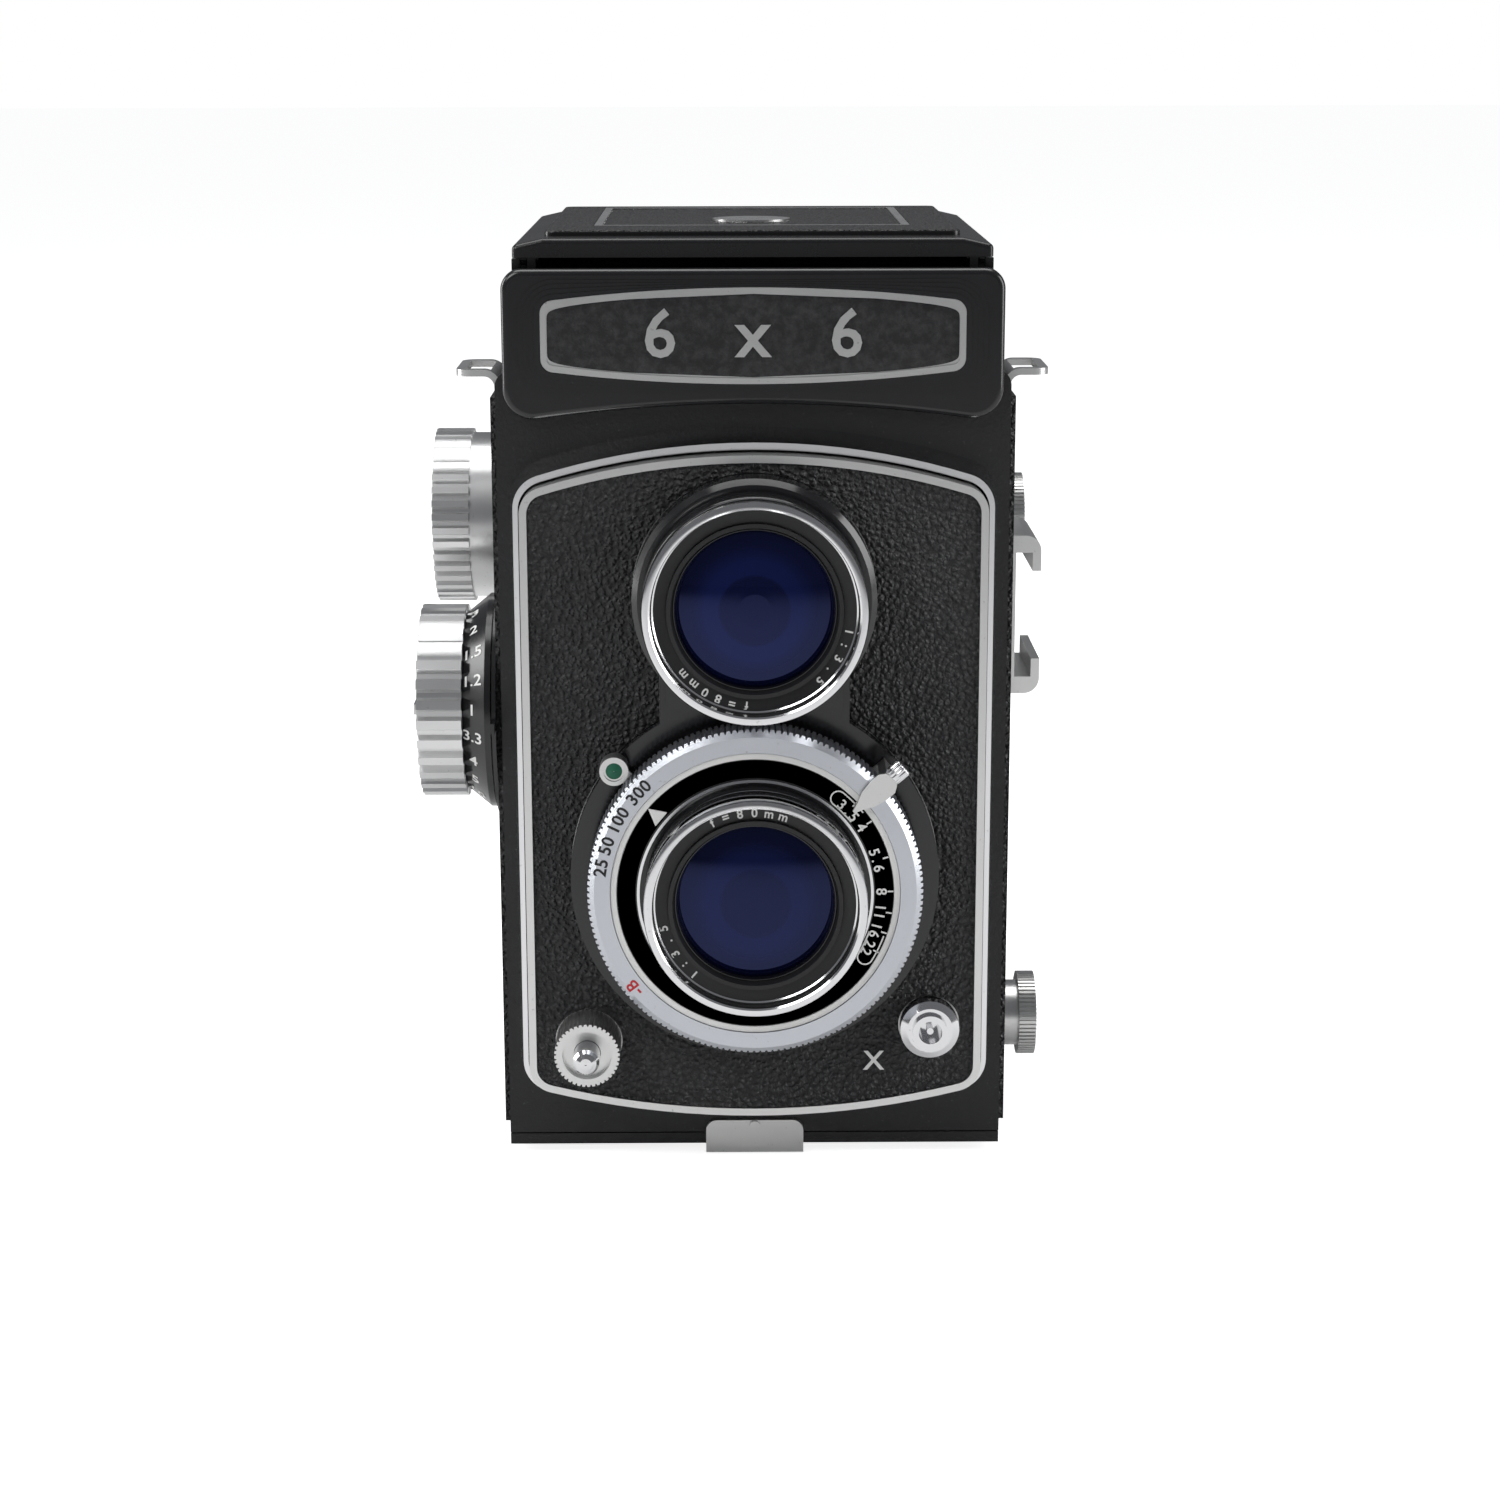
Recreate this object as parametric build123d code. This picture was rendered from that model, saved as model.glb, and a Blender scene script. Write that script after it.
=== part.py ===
"""Twin lens reflex roll-film camera, 6 x 6 cm on 120 film.

Frame: +Z up, the lenses look along -Y, +X is the side of the accessory shoe.
The origin is the centre of the tripod socket's mouth, in the plane that the
camera stands on. All sizes are millimetres.
"""
from build123d import *
import os
from math import cos, pi, radians, sin, sqrt

os.makedirs("parts", exist_ok=True)

# ---- body ----------------------------------------------------------------
BODY_WIDTH = 77.0          # over the side leathers
BODY_FRONT = -36.0         # front plane of the casting
BODY_BACK = 36.0           # rear face of the door leather
BODY_TOP = 121.0           # deck that carries the focusing hood
SHOULDER = 2.3             # rounding of the long top edges
LEATHER = 0.8              # thickness of the coverings
SKIN = BODY_WIDTH / 2      # outer face of the side leathers
SIDE_WALL = 2.1
FRONT_WALL = 3.0
DECK = 3.6                 # thickness of the top deck
GROUND_GAP = 1.5           # underside of the base plate above the ground
BASE_PLATE = 1.7           # door's base plate
BACK_PLATE = 2.2           # door's back plate
SEAM = 0.3                 # gap between the casting and the door

# ---- optics --------------------------------------------------------------
VIEW_Z = 89.8              # viewing lens axis
LENS_SPACING = 42.0        # viewing axis to taking axis
RIM_RADIUS = 16.0          # push-on filter rim of both lenses
RIM_BORE = 14.7
VIEW_RIM_Y = -61.9
TAKE_RIM_Y = -65.1
GLASS_RADIUS = 11.4
MIRROR_Y = -6.0            # where the viewing axis meets the mirror
MIRROR_GLASS = 1.5
FRAME_SIZE = 56.0          # side of the square negative
FILM_Y = 28.0              # film plane
SCREEN_HALF = 28.3
SCREEN_GLASS = 1.8

# ---- lens board ----------------------------------------------------------
BOARD_HALF = 33.85
BOARD_FACE = -46.25
BOARD_TOP = 110.0
BOARD_TOP_ARC = 106.0
BOARD_BOTTOM = 9.9
BOARD_BOTTOM_ARC = 125.0
BOARD_CORNER = 4.0
BOARD_PLATE = 1.5
BOARD_DEPTH = 8.0          # depth of the board's tray
TRIM_WIDTH = 1.1
BEZEL_HALF = 36.0          # fixed collar round the board, at the casting
BEZEL_RISE = 2.8           # collar above the board's top edge
BEZEL_DROP = 2.3           # collar below the board's lower edge
BEZEL_DEPTH = 7.0
BEZEL_LIP = 1.1            # collar beyond the board at its front edge
BOARD_GAP = 0.35           # running gap between board and collar
FOCUS_OUT = 5.5            # board travel towards the subject
FOCUS_IN = 1.7             # board travel towards the film

# ---- shutter -------------------------------------------------------------
SURROUND_RADIUS = 27.1
SURROUND_FACE = -48.6
NECK_HALF = 13.8
VIEW_HOUSING_RADIUS = 17.6
SPEED_RADIUS = 24.3
SPEED_BORE = 21.0
SPEED_FACE = -57.3
SPEED_BACK = -51.0
SPEED_TEETH = 168
IRIS_BLADES = 5
IRIS_Y = -53.0
GLASS_SINK = 3.8           # glass vertex behind the rim
RELEASE_AT = (-24.9, 21.7)
SYNC_AT = (26.05, 24.1)

# ---- focusing and film transport ------------------------------------------
FOCUS_YZ = (-20.0, 68.5)
FOCUS_KNOB_RADIUS = 14.8
FOCUS_KNOB_X = (-SKIN - 12.2, -SKIN - 5.4)
FOCUS_SHAFT_RADIUS = 2.2
CAM_RISE = 1.375           # mm of board travel per radian of the knob
CAM_BASE = 4.6             # smallest cam radius
CAM_X = (31.6, 32.8)
WIND_YZ = (17.0, 91.5)
WIND_KNOB_RADIUS = 14.2
WIND_KNOB_X = (-SKIN - 12.8, -SKIN - 6.9)
SUPPLY_YZ = (-17.0, 16.3)
SPOOL_LENGTH = 65.5
SPOOL_FLANGE = 12.5
SPOOL_CORE = 6.0
PULL_KNOB_RADIUS = 6.6
PULL_KNOB_X = (SKIN + 3.4, SKIN + 6.1)
RUN = 0.05                 # radial running clearance of shafts and pins
ROLLER_RADIUS = 2.2
ROLLER_Y = 28.6

# ---- hood ----------------------------------------------------------------
HOOD_HALF = 35.2
HOOD_FRONT = -34.0
HOOD_REAR = 34.0
HOOD_RIM = BODY_TOP + 15.8 # top of the hood's fixed frame
HOOD_WALL = 1.2
FRONT_DROP = 2.3           # front corner of the hood frame below its rim, clear of the lid
LID_TOP = BODY_TOP + 19.7
LID_STEP = 0.8             # raised field of the lid above its front strip
LID_FIELD_HALF = 30.6
LID_FIELD_FRONT = -28.0
LID_SHOULDER = 1.0         # fall of the lid's sloping sides
LID_PLATE = 1.0
LID_GAP = 0.35             # lid above the rim of the hood frame
LID_PIVOT = (-31.6, BODY_TOP + 15.9)
REAR_PIVOT = (31.2, BODY_TOP + 13.2)
SIDE_PIVOT = (32.6, BODY_TOP + 7.6)  # x and z
REAR_HEIGHT = 32.0
SIDE_HEIGHT = 27.0
PANEL = 0.8
ARM_REACH = 34.0           # lid pivot to magnifier pivot
ARM_LENGTH = 24.0
PIN_RADIUS = 0.6

# ---- door and base -------------------------------------------------------
DOOR_PIVOT = (34.4, BODY_TOP - 1.6)
TRIPOD_RADIUS = 2.6        # 1/4 inch tapped hole, at its minor diameter
TRIPOD_DEPTH = 6.0
TRIPOD_BOSS = 6.5
DIAL_RADIUS = 15.0

# ---- smaller pieces --------------------------------------------------------
SCREEN_Y = (-32.6, 22.0)
SCREEN_SINK = 0.4          # screen below the deck
ROD_X = 32.2               # guide rods and cam followers of the lens board
ROD_RADIUS = 1.1
GUIDE_Z = (34.0, 100.0)
FOLLOWER_GAP = 0.45
GUIDE_REACH = 7.0          # guide rods behind the front wall
BUSH_RADIUS = 5.5
WIND_SHAFT_RADIUS = 3.0
PULL_STEM = 3.2
GATE_HALF = 29.5
ROLLER_PITCH = 64.8        # between the two film rollers
CONE_MOUTH = 20.0
MIRROR_LENGTH = 72.0
MIRROR_HALF = 29.0
APRON_HALF = 36.45
APRON_FOOT = BODY_TOP - 7.6
APRON_RISE = 2.9
APRON_TOP = BODY_TOP + 14.85
APRON_CORNER = 3.0
APRON_STEPS = 4            # terraces round the name plate
TERRACE = 0.8              # width of one of them
APRON_DEPTH = 2.3
PLATE_HALF = 30.8
PLATE_MID = 14.0
PLATE_END = 10.0
PLATE_Z = BODY_TOP + 5.3
PLATE_BORDER = 0.9
PLATE_FACE = -39.0
PLATE_BACK = -37.3
LEATHER_TOP = BODY_TOP - 4.0
SHOE_SPAN = 24.3
SHOE_MIDDLE = 82.85
SHOE_CENTRE_Y = -18.0
SHOE_LENGTH = 18.0
SHOE_STAND = 5.0
SHOE_FLOOR = 1.2
SHOE_WALL = 2.6
SHOE_PLATE = 1.3
SHOE_LIP = 5.4
LUG_Y = -16.0
LUG_HALF = 7.5
LUG_Z = BODY_TOP - 1.2
LUG_PLATE = 1.0
LUG_REACH = SKIN + 6.0
LUG_BEND = 2.6
LUG_SCREW_Z = BODY_TOP - 7.5
CATCH_FOOT = 0.4
DISC_RADIUS = 8.5          # film speed reminder in the focusing knob
DISC_DEPTH = 1.6
FLAP_HALF = 23.8
FLAP_Y = (-17.5, 28.0)
BADGE_Y = -2.9
EAR_X = (31.6, 32.8)
ARM_Z = BODY_TOP + 16.9
ARM_THICK = 1.4
MAGNIFIER_RADIUS = 9.5
PANEL_HALF = 31.0
SIDE_BASE = 54.0
SIDE_MIDDLE = 0.5
DOOR_KNUCKLES = (-22.0, 22.0)
KNUCKLE = 6.8              # half the length of a fixed door knuckle
BUSH_STEM = 4.4            # tripod bush inside the base plate
FILM_GAP = 0.8             # film path in front of the pressure plate
PLATE_TRAVEL = 0.8
FOOT_X = 30.0
FOOT_Y = (-28.0, 27.0)
BOARD_WALL = 1.2
BARREL_RADIUS = GLASS_RADIUS + 1.2  # lens tubes through the board and housing
VIEW_HOUSING_FACE = -52.0
SCALE_BACK = -56.0
SCALE_FACE = -57.0
LEVER_BORE = 17.6
LEVER_RING = 20.3
LEVER_TIP = 26.6
APERTURE_LEVER_Y = (-48.8, -49.6)
COCKING_LEVER_Y = (-49.8, -50.7)
APERTURE_ANGLE = 41.5
COCKING_ANGLE = 139.7
COLLAR_RADIUS = 4.85
COLLAR_FACE = -52.5
PLUNGER_RADIUS = 1.95
PLUNGER_TIP = -56.5
SOCKET_RADIUS = 4.4
SOCKET_STAND = 3.6

TAKE_Z = VIEW_Z - LENS_SPACING
CASE_HALF = SKIN - LEATHER
CAVITY_HALF = CASE_HALF - SIDE_WALL
CASE_REAR = BODY_BACK - LEATHER - BACK_PLATE - SEAM
CASE_FOOT = GROUND_GAP + BASE_PLATE + SEAM
CASE_INNER_FRONT = BODY_FRONT + FRONT_WALL
DECK_UNDER = BODY_TOP - DECK
BOARD_BACK = BOARD_FACE + BOARD_DEPTH
DOOR_INNER = BODY_BACK - LEATHER - BACK_PLATE
BASE_TOP = GROUND_GAP + BASE_PLATE
SCREEN_SEAT = BODY_TOP - SCREEN_SINK - SCREEN_GLASS
ROLLER_Z = (TAKE_Z - ROLLER_PITCH / 2, TAKE_Z + ROLLER_PITCH / 2)
CONE_FRONT = CASE_INNER_FRONT
CONE_REAR = FILM_Y - 2.0
SHOE_Y = (SHOE_CENTRE_Y - SHOE_LENGTH / 2, SHOE_CENTRE_Y + SHOE_LENGTH / 2)
SHOE_Z = (SHOE_MIDDLE - SHOE_SPAN / 2, SHOE_MIDDLE + SHOE_SPAN / 2)
CAM_NOW = CAM_BASE + FOCUS_IN      # cam radius under the follower at rest
ARM_Y = LID_PIVOT[0] + ARM_REACH
LENS_Y = ARM_Y + 13.0
DOOR_HALF = CASE_HALF
BOARD_SEAT = BOARD_FACE + 1.2      # front of the board's plate, behind the trim

nodes = {}


# ---- building blocks -----------------------------------------------------
def block(x, y, z):
    """Box between three pairs of limits."""
    sizes = [high - low for low, high in (x, y, z)]
    middle = [(high + low) / 2 for low, high in (x, y, z)]
    return Pos(*middle) * Box(*sizes)


def rod(axis, centre, radius, span):
    """Round bar along an axis; centre holds the other two coordinates."""
    middle = (span[0] + span[1]) / 2
    bar = Cylinder(radius, abs(span[1] - span[0]))
    if axis == "x":
        return Pos(middle, *centre) * Rot(0, 90, 0) * bar
    if axis == "y":
        return Pos(centre[0], middle, centre[1]) * Rot(90, 0, 0) * bar
    return Pos(*centre, middle) * bar


def tube(axis, centre, outer, inner, span):
    """Round tube along an axis."""
    reach = (min(span) - 1, max(span) + 1)
    return rod(axis, centre, outer, span) - rod(axis, centre, inner, reach)


def turned_y(centre, points):
    """Solid turned about a line along Y; points are (radius, y)."""
    face = make_face(Polyline(*points, close=True))
    return Pos(centre[0], 0, centre[1]) * revolve(face, Axis.Y)


def turned_x(centre, points):
    """Solid turned about a line along X; points are (x, radius)."""
    face = make_face(Polyline(*points, close=True))
    return Pos(0, centre[0], centre[1]) * revolve(face, Axis.X)


def front_plate(face, y_back, thickness):
    """Plate standing in XZ, from y_back towards the subject."""
    return extrude(Plane.XZ.offset(-y_back) * face, amount=thickness)


def side_plate(face, x_low, thickness):
    """Plate standing in YZ, from x_low towards +X."""
    return extrude(Plane.YZ.offset(x_low) * face, amount=thickness)


def toothed(radius, depth, count, land=0.5):
    """Outline of a knurled or fluted disc: crests joined by straight flanks."""
    pitch = 2 * pi / count
    points = []
    for tooth in range(count):
        start = tooth * pitch
        for share, reach in ((0, radius), (land, radius),
                             (land + 0.15, radius - depth), (0.85, radius - depth)):
            turn = start + share * pitch
            points.append((reach * cos(turn), reach * sin(turn)))
    return make_face(Polyline(*points, close=True))


def arched(half, top, top_arc, bottom, bottom_arc, corner):
    """Upright outline with straight sides and outward-bowed ends."""
    shoulder = top - (top_arc - sqrt(top_arc ** 2 - half ** 2))
    foot = bottom + (bottom_arc - sqrt(bottom_arc ** 2 - half ** 2))
    edges = [
        Line((-half, foot), (-half, shoulder)),
        ThreePointArc((-half, shoulder), (0, top), (half, shoulder)),
        Line((half, shoulder), (half, foot)),
        ThreePointArc((half, foot), (0, bottom), (-half, foot)),
    ]
    face = make_face(edges)
    return fillet(face.vertices(), corner)


def board_outline(grow):
    """The lens board's outline, moved outwards by grow."""
    return arched(BOARD_HALF + grow, BOARD_TOP + grow, BOARD_TOP_ARC + grow,
                  BOARD_BOTTOM - grow, BOARD_BOTTOM_ARC + grow, BOARD_CORNER + grow)


def both_sides(shape):
    """A piece and its mirror image across the middle of the camera."""
    return shape + mirror(shape, about=Plane.YZ)


# ---- body casting and its fixed fittings -----------------------------------
def body_casting():
    """Open-backed, open-bottomed shell with the deck, cut for screen, lenses and shafts."""
    outline = make_face(Polyline((-CASE_HALF, CASE_FOOT), (CASE_HALF, CASE_FOOT),
                                 (CASE_HALF, BODY_TOP), (-CASE_HALF, BODY_TOP),
                                 close=True))
    outline = fillet(outline.vertices().sort_by(Axis.Y)[-2:], SHOULDER)
    shell = front_plate(outline, CASE_REAR, CASE_REAR - BODY_FRONT)
    cavity = block((-CAVITY_HALF, CAVITY_HALF), (CASE_INNER_FRONT, CASE_REAR + 5),
                   (CASE_FOOT - 5, DECK_UNDER))
    shell -= cavity
    seat = SCREEN_HALF + 0.2
    shell -= block((-seat, seat), (SCREEN_Y[0] - 0.2, SCREEN_Y[1] + 0.2),
                   (SCREEN_SEAT, BODY_TOP + 1))
    window = SCREEN_HALF - 1.5
    shell -= block((-window, window), (SCREEN_Y[0] + 1.5, SCREEN_Y[1] - 1.5),
                   (DECK_UNDER - 1, BODY_TOP + 1))
    front = (BODY_FRONT - 1, CASE_INNER_FRONT + 1)
    shell -= rod("y", (0, VIEW_Z), GLASS_RADIUS + 3, front)
    shell -= rod("y", (0, TAKE_Z), GLASS_RADIUS + 3, front)
    for side in (-1, 1):
        for height in (FOCUS_YZ[1], *GUIDE_Z):
            shell -= rod("y", (side * ROD_X, height), ROD_RADIUS + RUN, front)
    left = (-SKIN - 1, -CAVITY_HALF + 1)
    right = (CAVITY_HALF - 1, SKIN + 1)
    shell -= rod("x", FOCUS_YZ, FOCUS_SHAFT_RADIUS + RUN, left)
    shell -= rod("x", FOCUS_YZ, 1.5 + RUN, (CAVITY_HALF - 1, CASE_HALF - 0.8))
    shell -= rod("x", WIND_YZ, BUSH_RADIUS, left)
    shell -= rod("x", WIND_YZ, BUSH_RADIUS, right)
    shell -= rod("x", SUPPLY_YZ, BUSH_RADIUS, left)
    shell -= rod("x", SUPPLY_YZ, BUSH_RADIUS, right)
    for height in ROLLER_Z:
        shell -= rod("x", (ROLLER_Y, height), 0.9 + RUN, (-CASE_HALF + 0.8, CASE_HALF - 0.8))
    return shell


def front_bezel():
    """Polished collar that tapers forward round the lens board."""
    foot = arched(BEZEL_HALF, BOARD_TOP + BEZEL_RISE, BOARD_TOP_ARC,
                  BOARD_BOTTOM - BEZEL_DROP, BOARD_BOTTOM_ARC, BOARD_CORNER + 2)
    lip = arched(BOARD_HALF + BEZEL_LIP, BOARD_TOP + BEZEL_LIP + 0.3, BOARD_TOP_ARC,
                 BOARD_BOTTOM - BEZEL_LIP, BOARD_BOTTOM_ARC, BOARD_CORNER + 1)
    base = Plane.XZ.offset(-BODY_FRONT)
    crest = Plane.XZ.offset(-BODY_FRONT + BEZEL_DEPTH)
    collar = loft(Sketch() + [base * foot, crest * lip], ruled=True)
    hole = front_plate(board_outline(BOARD_GAP), BODY_FRONT + 1, BEZEL_DEPTH + 2)
    return collar - hole


def apron_outline():
    """Front outline of the finder cover, with its bowed lower edge."""
    half = APRON_HALF
    low = APRON_FOOT
    high = APRON_TOP
    edges = [
        Line((-half, low), (-half, high)),
        Line((-half, high), (half, high)),
        Line((half, high), (half, low)),
        ThreePointArc((half, low), (0, low + APRON_RISE), (-half, low)),
    ]
    face = make_face(edges)
    face = fillet(face.vertices().sort_by(Axis.Y)[:2], 4.5)
    return fillet(face.vertices().sort_by(Axis.Y)[-2:], APRON_CORNER)


def plate_outline(grow, rise=1.0):
    """Name plate outline, bowed above and below; rise scales its growth upwards."""
    half = PLATE_HALF + grow
    end = PLATE_END / 2 + grow
    mid = PLATE_MID / 2 + grow * rise
    edges = [
        Line((-half, -end), (-half, end)),
        ThreePointArc((-half, end), (0, mid), (half, end)),
        Line((half, end), (half, -end)),
        ThreePointArc((half, -end), (0, -mid), (-half, -end)),
    ]
    face = fillet(make_face(edges).vertices(), 2.0 + grow)
    return Pos(0, PLATE_Z) * face


def finder_apron():
    """Pressed cover in front of the hood, stepped round the name plate."""
    cover = front_plate(apron_outline(), BODY_FRONT, APRON_DEPTH)
    front_edges = cover.faces().sort_by(Axis.Y)[0].edges()
    cover = fillet(front_edges, 0.9)
    face = BODY_FRONT - APRON_DEPTH
    for step in range(APRON_STEPS):
        grow = TERRACE * (APRON_STEPS - step)
        cover += front_plate(plate_outline(grow, 0.3), face + 0.2, 0.2 + 0.17 * (step + 1))
    return cover - front_plate(plate_outline(0), PLATE_BACK, 5)


def nameplate():
    """Plain plate with a raised border and a sunk, blank field."""
    plate = front_plate(plate_outline(-RUN), PLATE_BACK, PLATE_BACK - PLATE_FACE)
    return plate - front_plate(plate_outline(-PLATE_BORDER), PLATE_FACE + 0.35, 1)


def side_leather(side):
    """Covering of one side wall, cut round the shafts and fittings."""
    x_low = CASE_HALF if side > 0 else -SKIN
    span = (x_low - 1, x_low + LEATHER + 1)
    sheet = block((x_low, x_low + LEATHER), (BODY_FRONT + 1.2, CASE_REAR - 0.6),
                  (CASE_FOOT + 1.5, LEATHER_TOP))
    sheet -= rod("x", WIND_YZ, BUSH_RADIUS + 0.2, span)
    sheet -= rod("x", SUPPLY_YZ, BUSH_RADIUS + 0.2, span)
    if side < 0:
        sheet -= rod("x", FOCUS_YZ, FOCUS_SHAFT_RADIUS + 0.6, span)
    else:
        sheet -= block(span, SHOE_Y, SHOE_Z)
    lug = (LUG_Y - LUG_HALF - 0.1, LUG_Y + LUG_HALF + 0.1)
    return sheet - block(span, lug, (LUG_SCREW_Z - 3.1, LEATHER_TOP + 1))


def case_screws():
    """Slotted heads that hold the strap lugs' side plates and the shoe."""
    heads = []
    places = [(side, y, LUG_SCREW_Z) for side in (-1, 1) for y in (LUG_Y - 4, LUG_Y + 4)]
    for side, y, z in places:
        start = side * (CASE_HALF + LUG_PLATE)
        head = rod("x", (y, z), 1.5, sorted((start, start + side * 0.6)))
        slot_x = sorted((start + side * 0.3, start + side * 1.0))
        head -= block(slot_x, (y - 0.2, y + 0.2), (z - 2, z + 2))
        heads.append(head)
    for z in (SHOE_MIDDLE - 6, SHOE_MIDDLE + 6):
        start = SKIN + SHOE_FLOOR - 0.5
        head = rod("x", (SHOE_CENTRE_Y, z), 1.6, (start, start + 0.5))
        head -= block((start + 0.2, start + 1), (SHOE_CENTRE_Y - 2, SHOE_CENTRE_Y + 2),
                      (z - 0.2, z + 0.2))
        heads.append(head)
    return Compound(children=heads)


def strap_lug():
    """Side plate bent outwards into a flat leaf with the strap's slot."""
    plate = block((CASE_HALF, CASE_HALF + LUG_PLATE), (LUG_Y - LUG_HALF, LUG_Y + LUG_HALF),
                  (LUG_SCREW_Z - 3, LUG_Z - LUG_BEND))
    bend = Pos(CASE_HALF + LUG_BEND, LUG_Y, LUG_Z - LUG_BEND) * Rot(90, 0, 0) * Cylinder(
        LUG_BEND, 2 * LUG_HALF)
    bend -= Pos(CASE_HALF + LUG_BEND, LUG_Y, LUG_Z - LUG_BEND) * Rot(90, 0, 0) * Cylinder(
        LUG_BEND - LUG_PLATE, 2 * LUG_HALF + 2)
    bend &= block((CASE_HALF, CASE_HALF + LUG_BEND), (LUG_Y - 20, LUG_Y + 20),
                  (LUG_Z - LUG_BEND, LUG_Z))
    leaf = block((CASE_HALF + LUG_BEND, LUG_REACH), (LUG_Y - LUG_HALF, LUG_Y + LUG_HALF),
                 (LUG_Z - LUG_PLATE, LUG_Z))
    tips = leaf.edges().filter_by(Axis.Z).sort_by(Axis.X)[-2:]
    leaf = fillet(tips, 2.2)
    slot = block((LUG_REACH - 5.2, LUG_REACH - 1.4),
                 (LUG_Y - LUG_HALF + 2, LUG_Y + LUG_HALF - 2), (LUG_Z - 3, LUG_Z + 3))
    return plate + bend + leaf - slot


def accessory_shoe():
    """Shoe standing on the side wall, its two lips curled over the channel."""
    floor = block((SKIN - LEATHER, SKIN + SHOE_FLOOR), SHOE_Y, SHOE_Z)
    floor -= block((SKIN + SHOE_FLOOR - 0.5, SKIN + SHOE_FLOOR + 1),
                   (SHOE_CENTRE_Y - 2.4, SHOE_CENTRE_Y + 2.4),
                   (SHOE_MIDDLE - 9, SHOE_MIDDLE + 9))
    top = SKIN + SHOE_STAND
    shoe = floor
    for side in (-1, 1):
        outer = SHOE_MIDDLE + side * SHOE_SPAN / 2
        wall = sorted((outer, outer - side * SHOE_WALL))
        lip = sorted((outer, outer - side * SHOE_LIP))
        rail = block((SKIN, top), SHOE_Y, wall) + block((top - SHOE_PLATE, top), SHOE_Y, lip)
        crown = rail.edges().filter_by(Axis.Y).group_by(Axis.X)[-1].sort_by(Axis.Z)
        shoe += fillet(crown[-1] if side > 0 else crown[0], SHOE_WALL * 0.9)
    return shoe


def catch_plate():
    """Tongue at the foot of the front that the door's lock grips, with its rivet."""
    outline = make_face(Polyline((-7.5, CATCH_FOOT), (7.5, CATCH_FOOT),
                                 (7.5, 5.6), (-7.5, 5.6), close=True))
    outline = fillet(outline.vertices().sort_by(Axis.Y)[-2:], 1.7)
    tongue = front_plate(outline, BODY_FRONT, 0.8)
    return tongue + rod("y", (0, CASE_FOOT + 1.2), 0.85, (BODY_FRONT - 1.2, BODY_FRONT - 0.8))


def focus_index_ring():
    """Raised ring on the side wall, with the index mark for the distance scale."""
    ring = tube("x", FOCUS_YZ, 17.6, FOCUS_SHAFT_RADIUS + 0.4,
                (-SKIN - 0.6, -SKIN))
    mark = block((-SKIN - 0.6, -SKIN), (FOCUS_YZ[0] - 20.4, FOCUS_YZ[0] - 17.0),
                 (FOCUS_YZ[1] - 0.8, FOCUS_YZ[1] + 0.8))
    return ring + mark


def spool_bushes():
    """Flanged bushes for the film spools in the side walls, left and right."""
    left = (-SKIN, -CAVITY_HALF)
    right = (CAVITY_HALF, SKIN)
    bushes = tube("x", WIND_YZ, BUSH_RADIUS, WIND_SHAFT_RADIUS + RUN, left)
    bushes += tube("x", WIND_YZ, BUSH_RADIUS, PULL_STEM + RUN, right)
    bushes += tube("x", SUPPLY_YZ, BUSH_RADIUS, PULL_STEM + RUN, right)
    stub = rod("x", SUPPLY_YZ, BUSH_RADIUS, left)
    stub += rod("x", SUPPLY_YZ, 2.6, (-CAVITY_HALF, -CAVITY_HALF + 3.0))
    return bushes + stub


# ---- optics and light path ---------------------------------------------------
def light_cone():
    """Four-sided funnel from behind the taking lens to the film gate."""
    front = Plane.XZ.offset(-CONE_FRONT) * Pos(0, TAKE_Z)
    rear = Plane.XZ.offset(-CONE_REAR) * Pos(0, TAKE_Z)
    wide = FRAME_SIZE + 1.0
    outer = loft(Sketch() + [front * Rectangle(CONE_MOUTH + 2, CONE_MOUTH + 2),
                             rear * Rectangle(wide + 2, wide + 2)], ruled=True)
    front = Plane.XZ.offset(-CONE_FRONT + 0.01) * Pos(0, TAKE_Z)
    rear = Plane.XZ.offset(-CONE_REAR - 0.01) * Pos(0, TAKE_Z)
    inner = loft(Sketch() + [front * Rectangle(CONE_MOUTH, CONE_MOUTH),
                             rear * Rectangle(wide, wide)], ruled=True)
    return outer - inner


def film_gate():
    """Plate with the square window and two polished film rails."""
    gate = block((-CAVITY_HALF, CAVITY_HALF), (CONE_REAR, FILM_Y - 0.6),
                 (TAKE_Z - GATE_HALF, TAKE_Z + GATE_HALF))
    for side in (-1, 1):
        rail = sorted((side * 30.5, side * 33.0))
        gate += block(rail, (FILM_Y - 0.6, FILM_Y),
                      (TAKE_Z - GATE_HALF, TAKE_Z + GATE_HALF))
    half = FRAME_SIZE / 2
    return gate - block((-half, half), (CONE_REAR - 1, FILM_Y + 1),
                        (TAKE_Z - half, TAKE_Z + half))


def reflex_mirror():
    """Front-silvered mirror at 45 degrees below the screen."""
    length = MIRROR_LENGTH
    tilt = Pos(0, MIRROR_Y, VIEW_Z) * Rot(45, 0, 0)
    return tilt * Pos(0, 0, -MIRROR_GLASS / 2) * Box(2 * MIRROR_HALF, length, MIRROR_GLASS)


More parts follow.
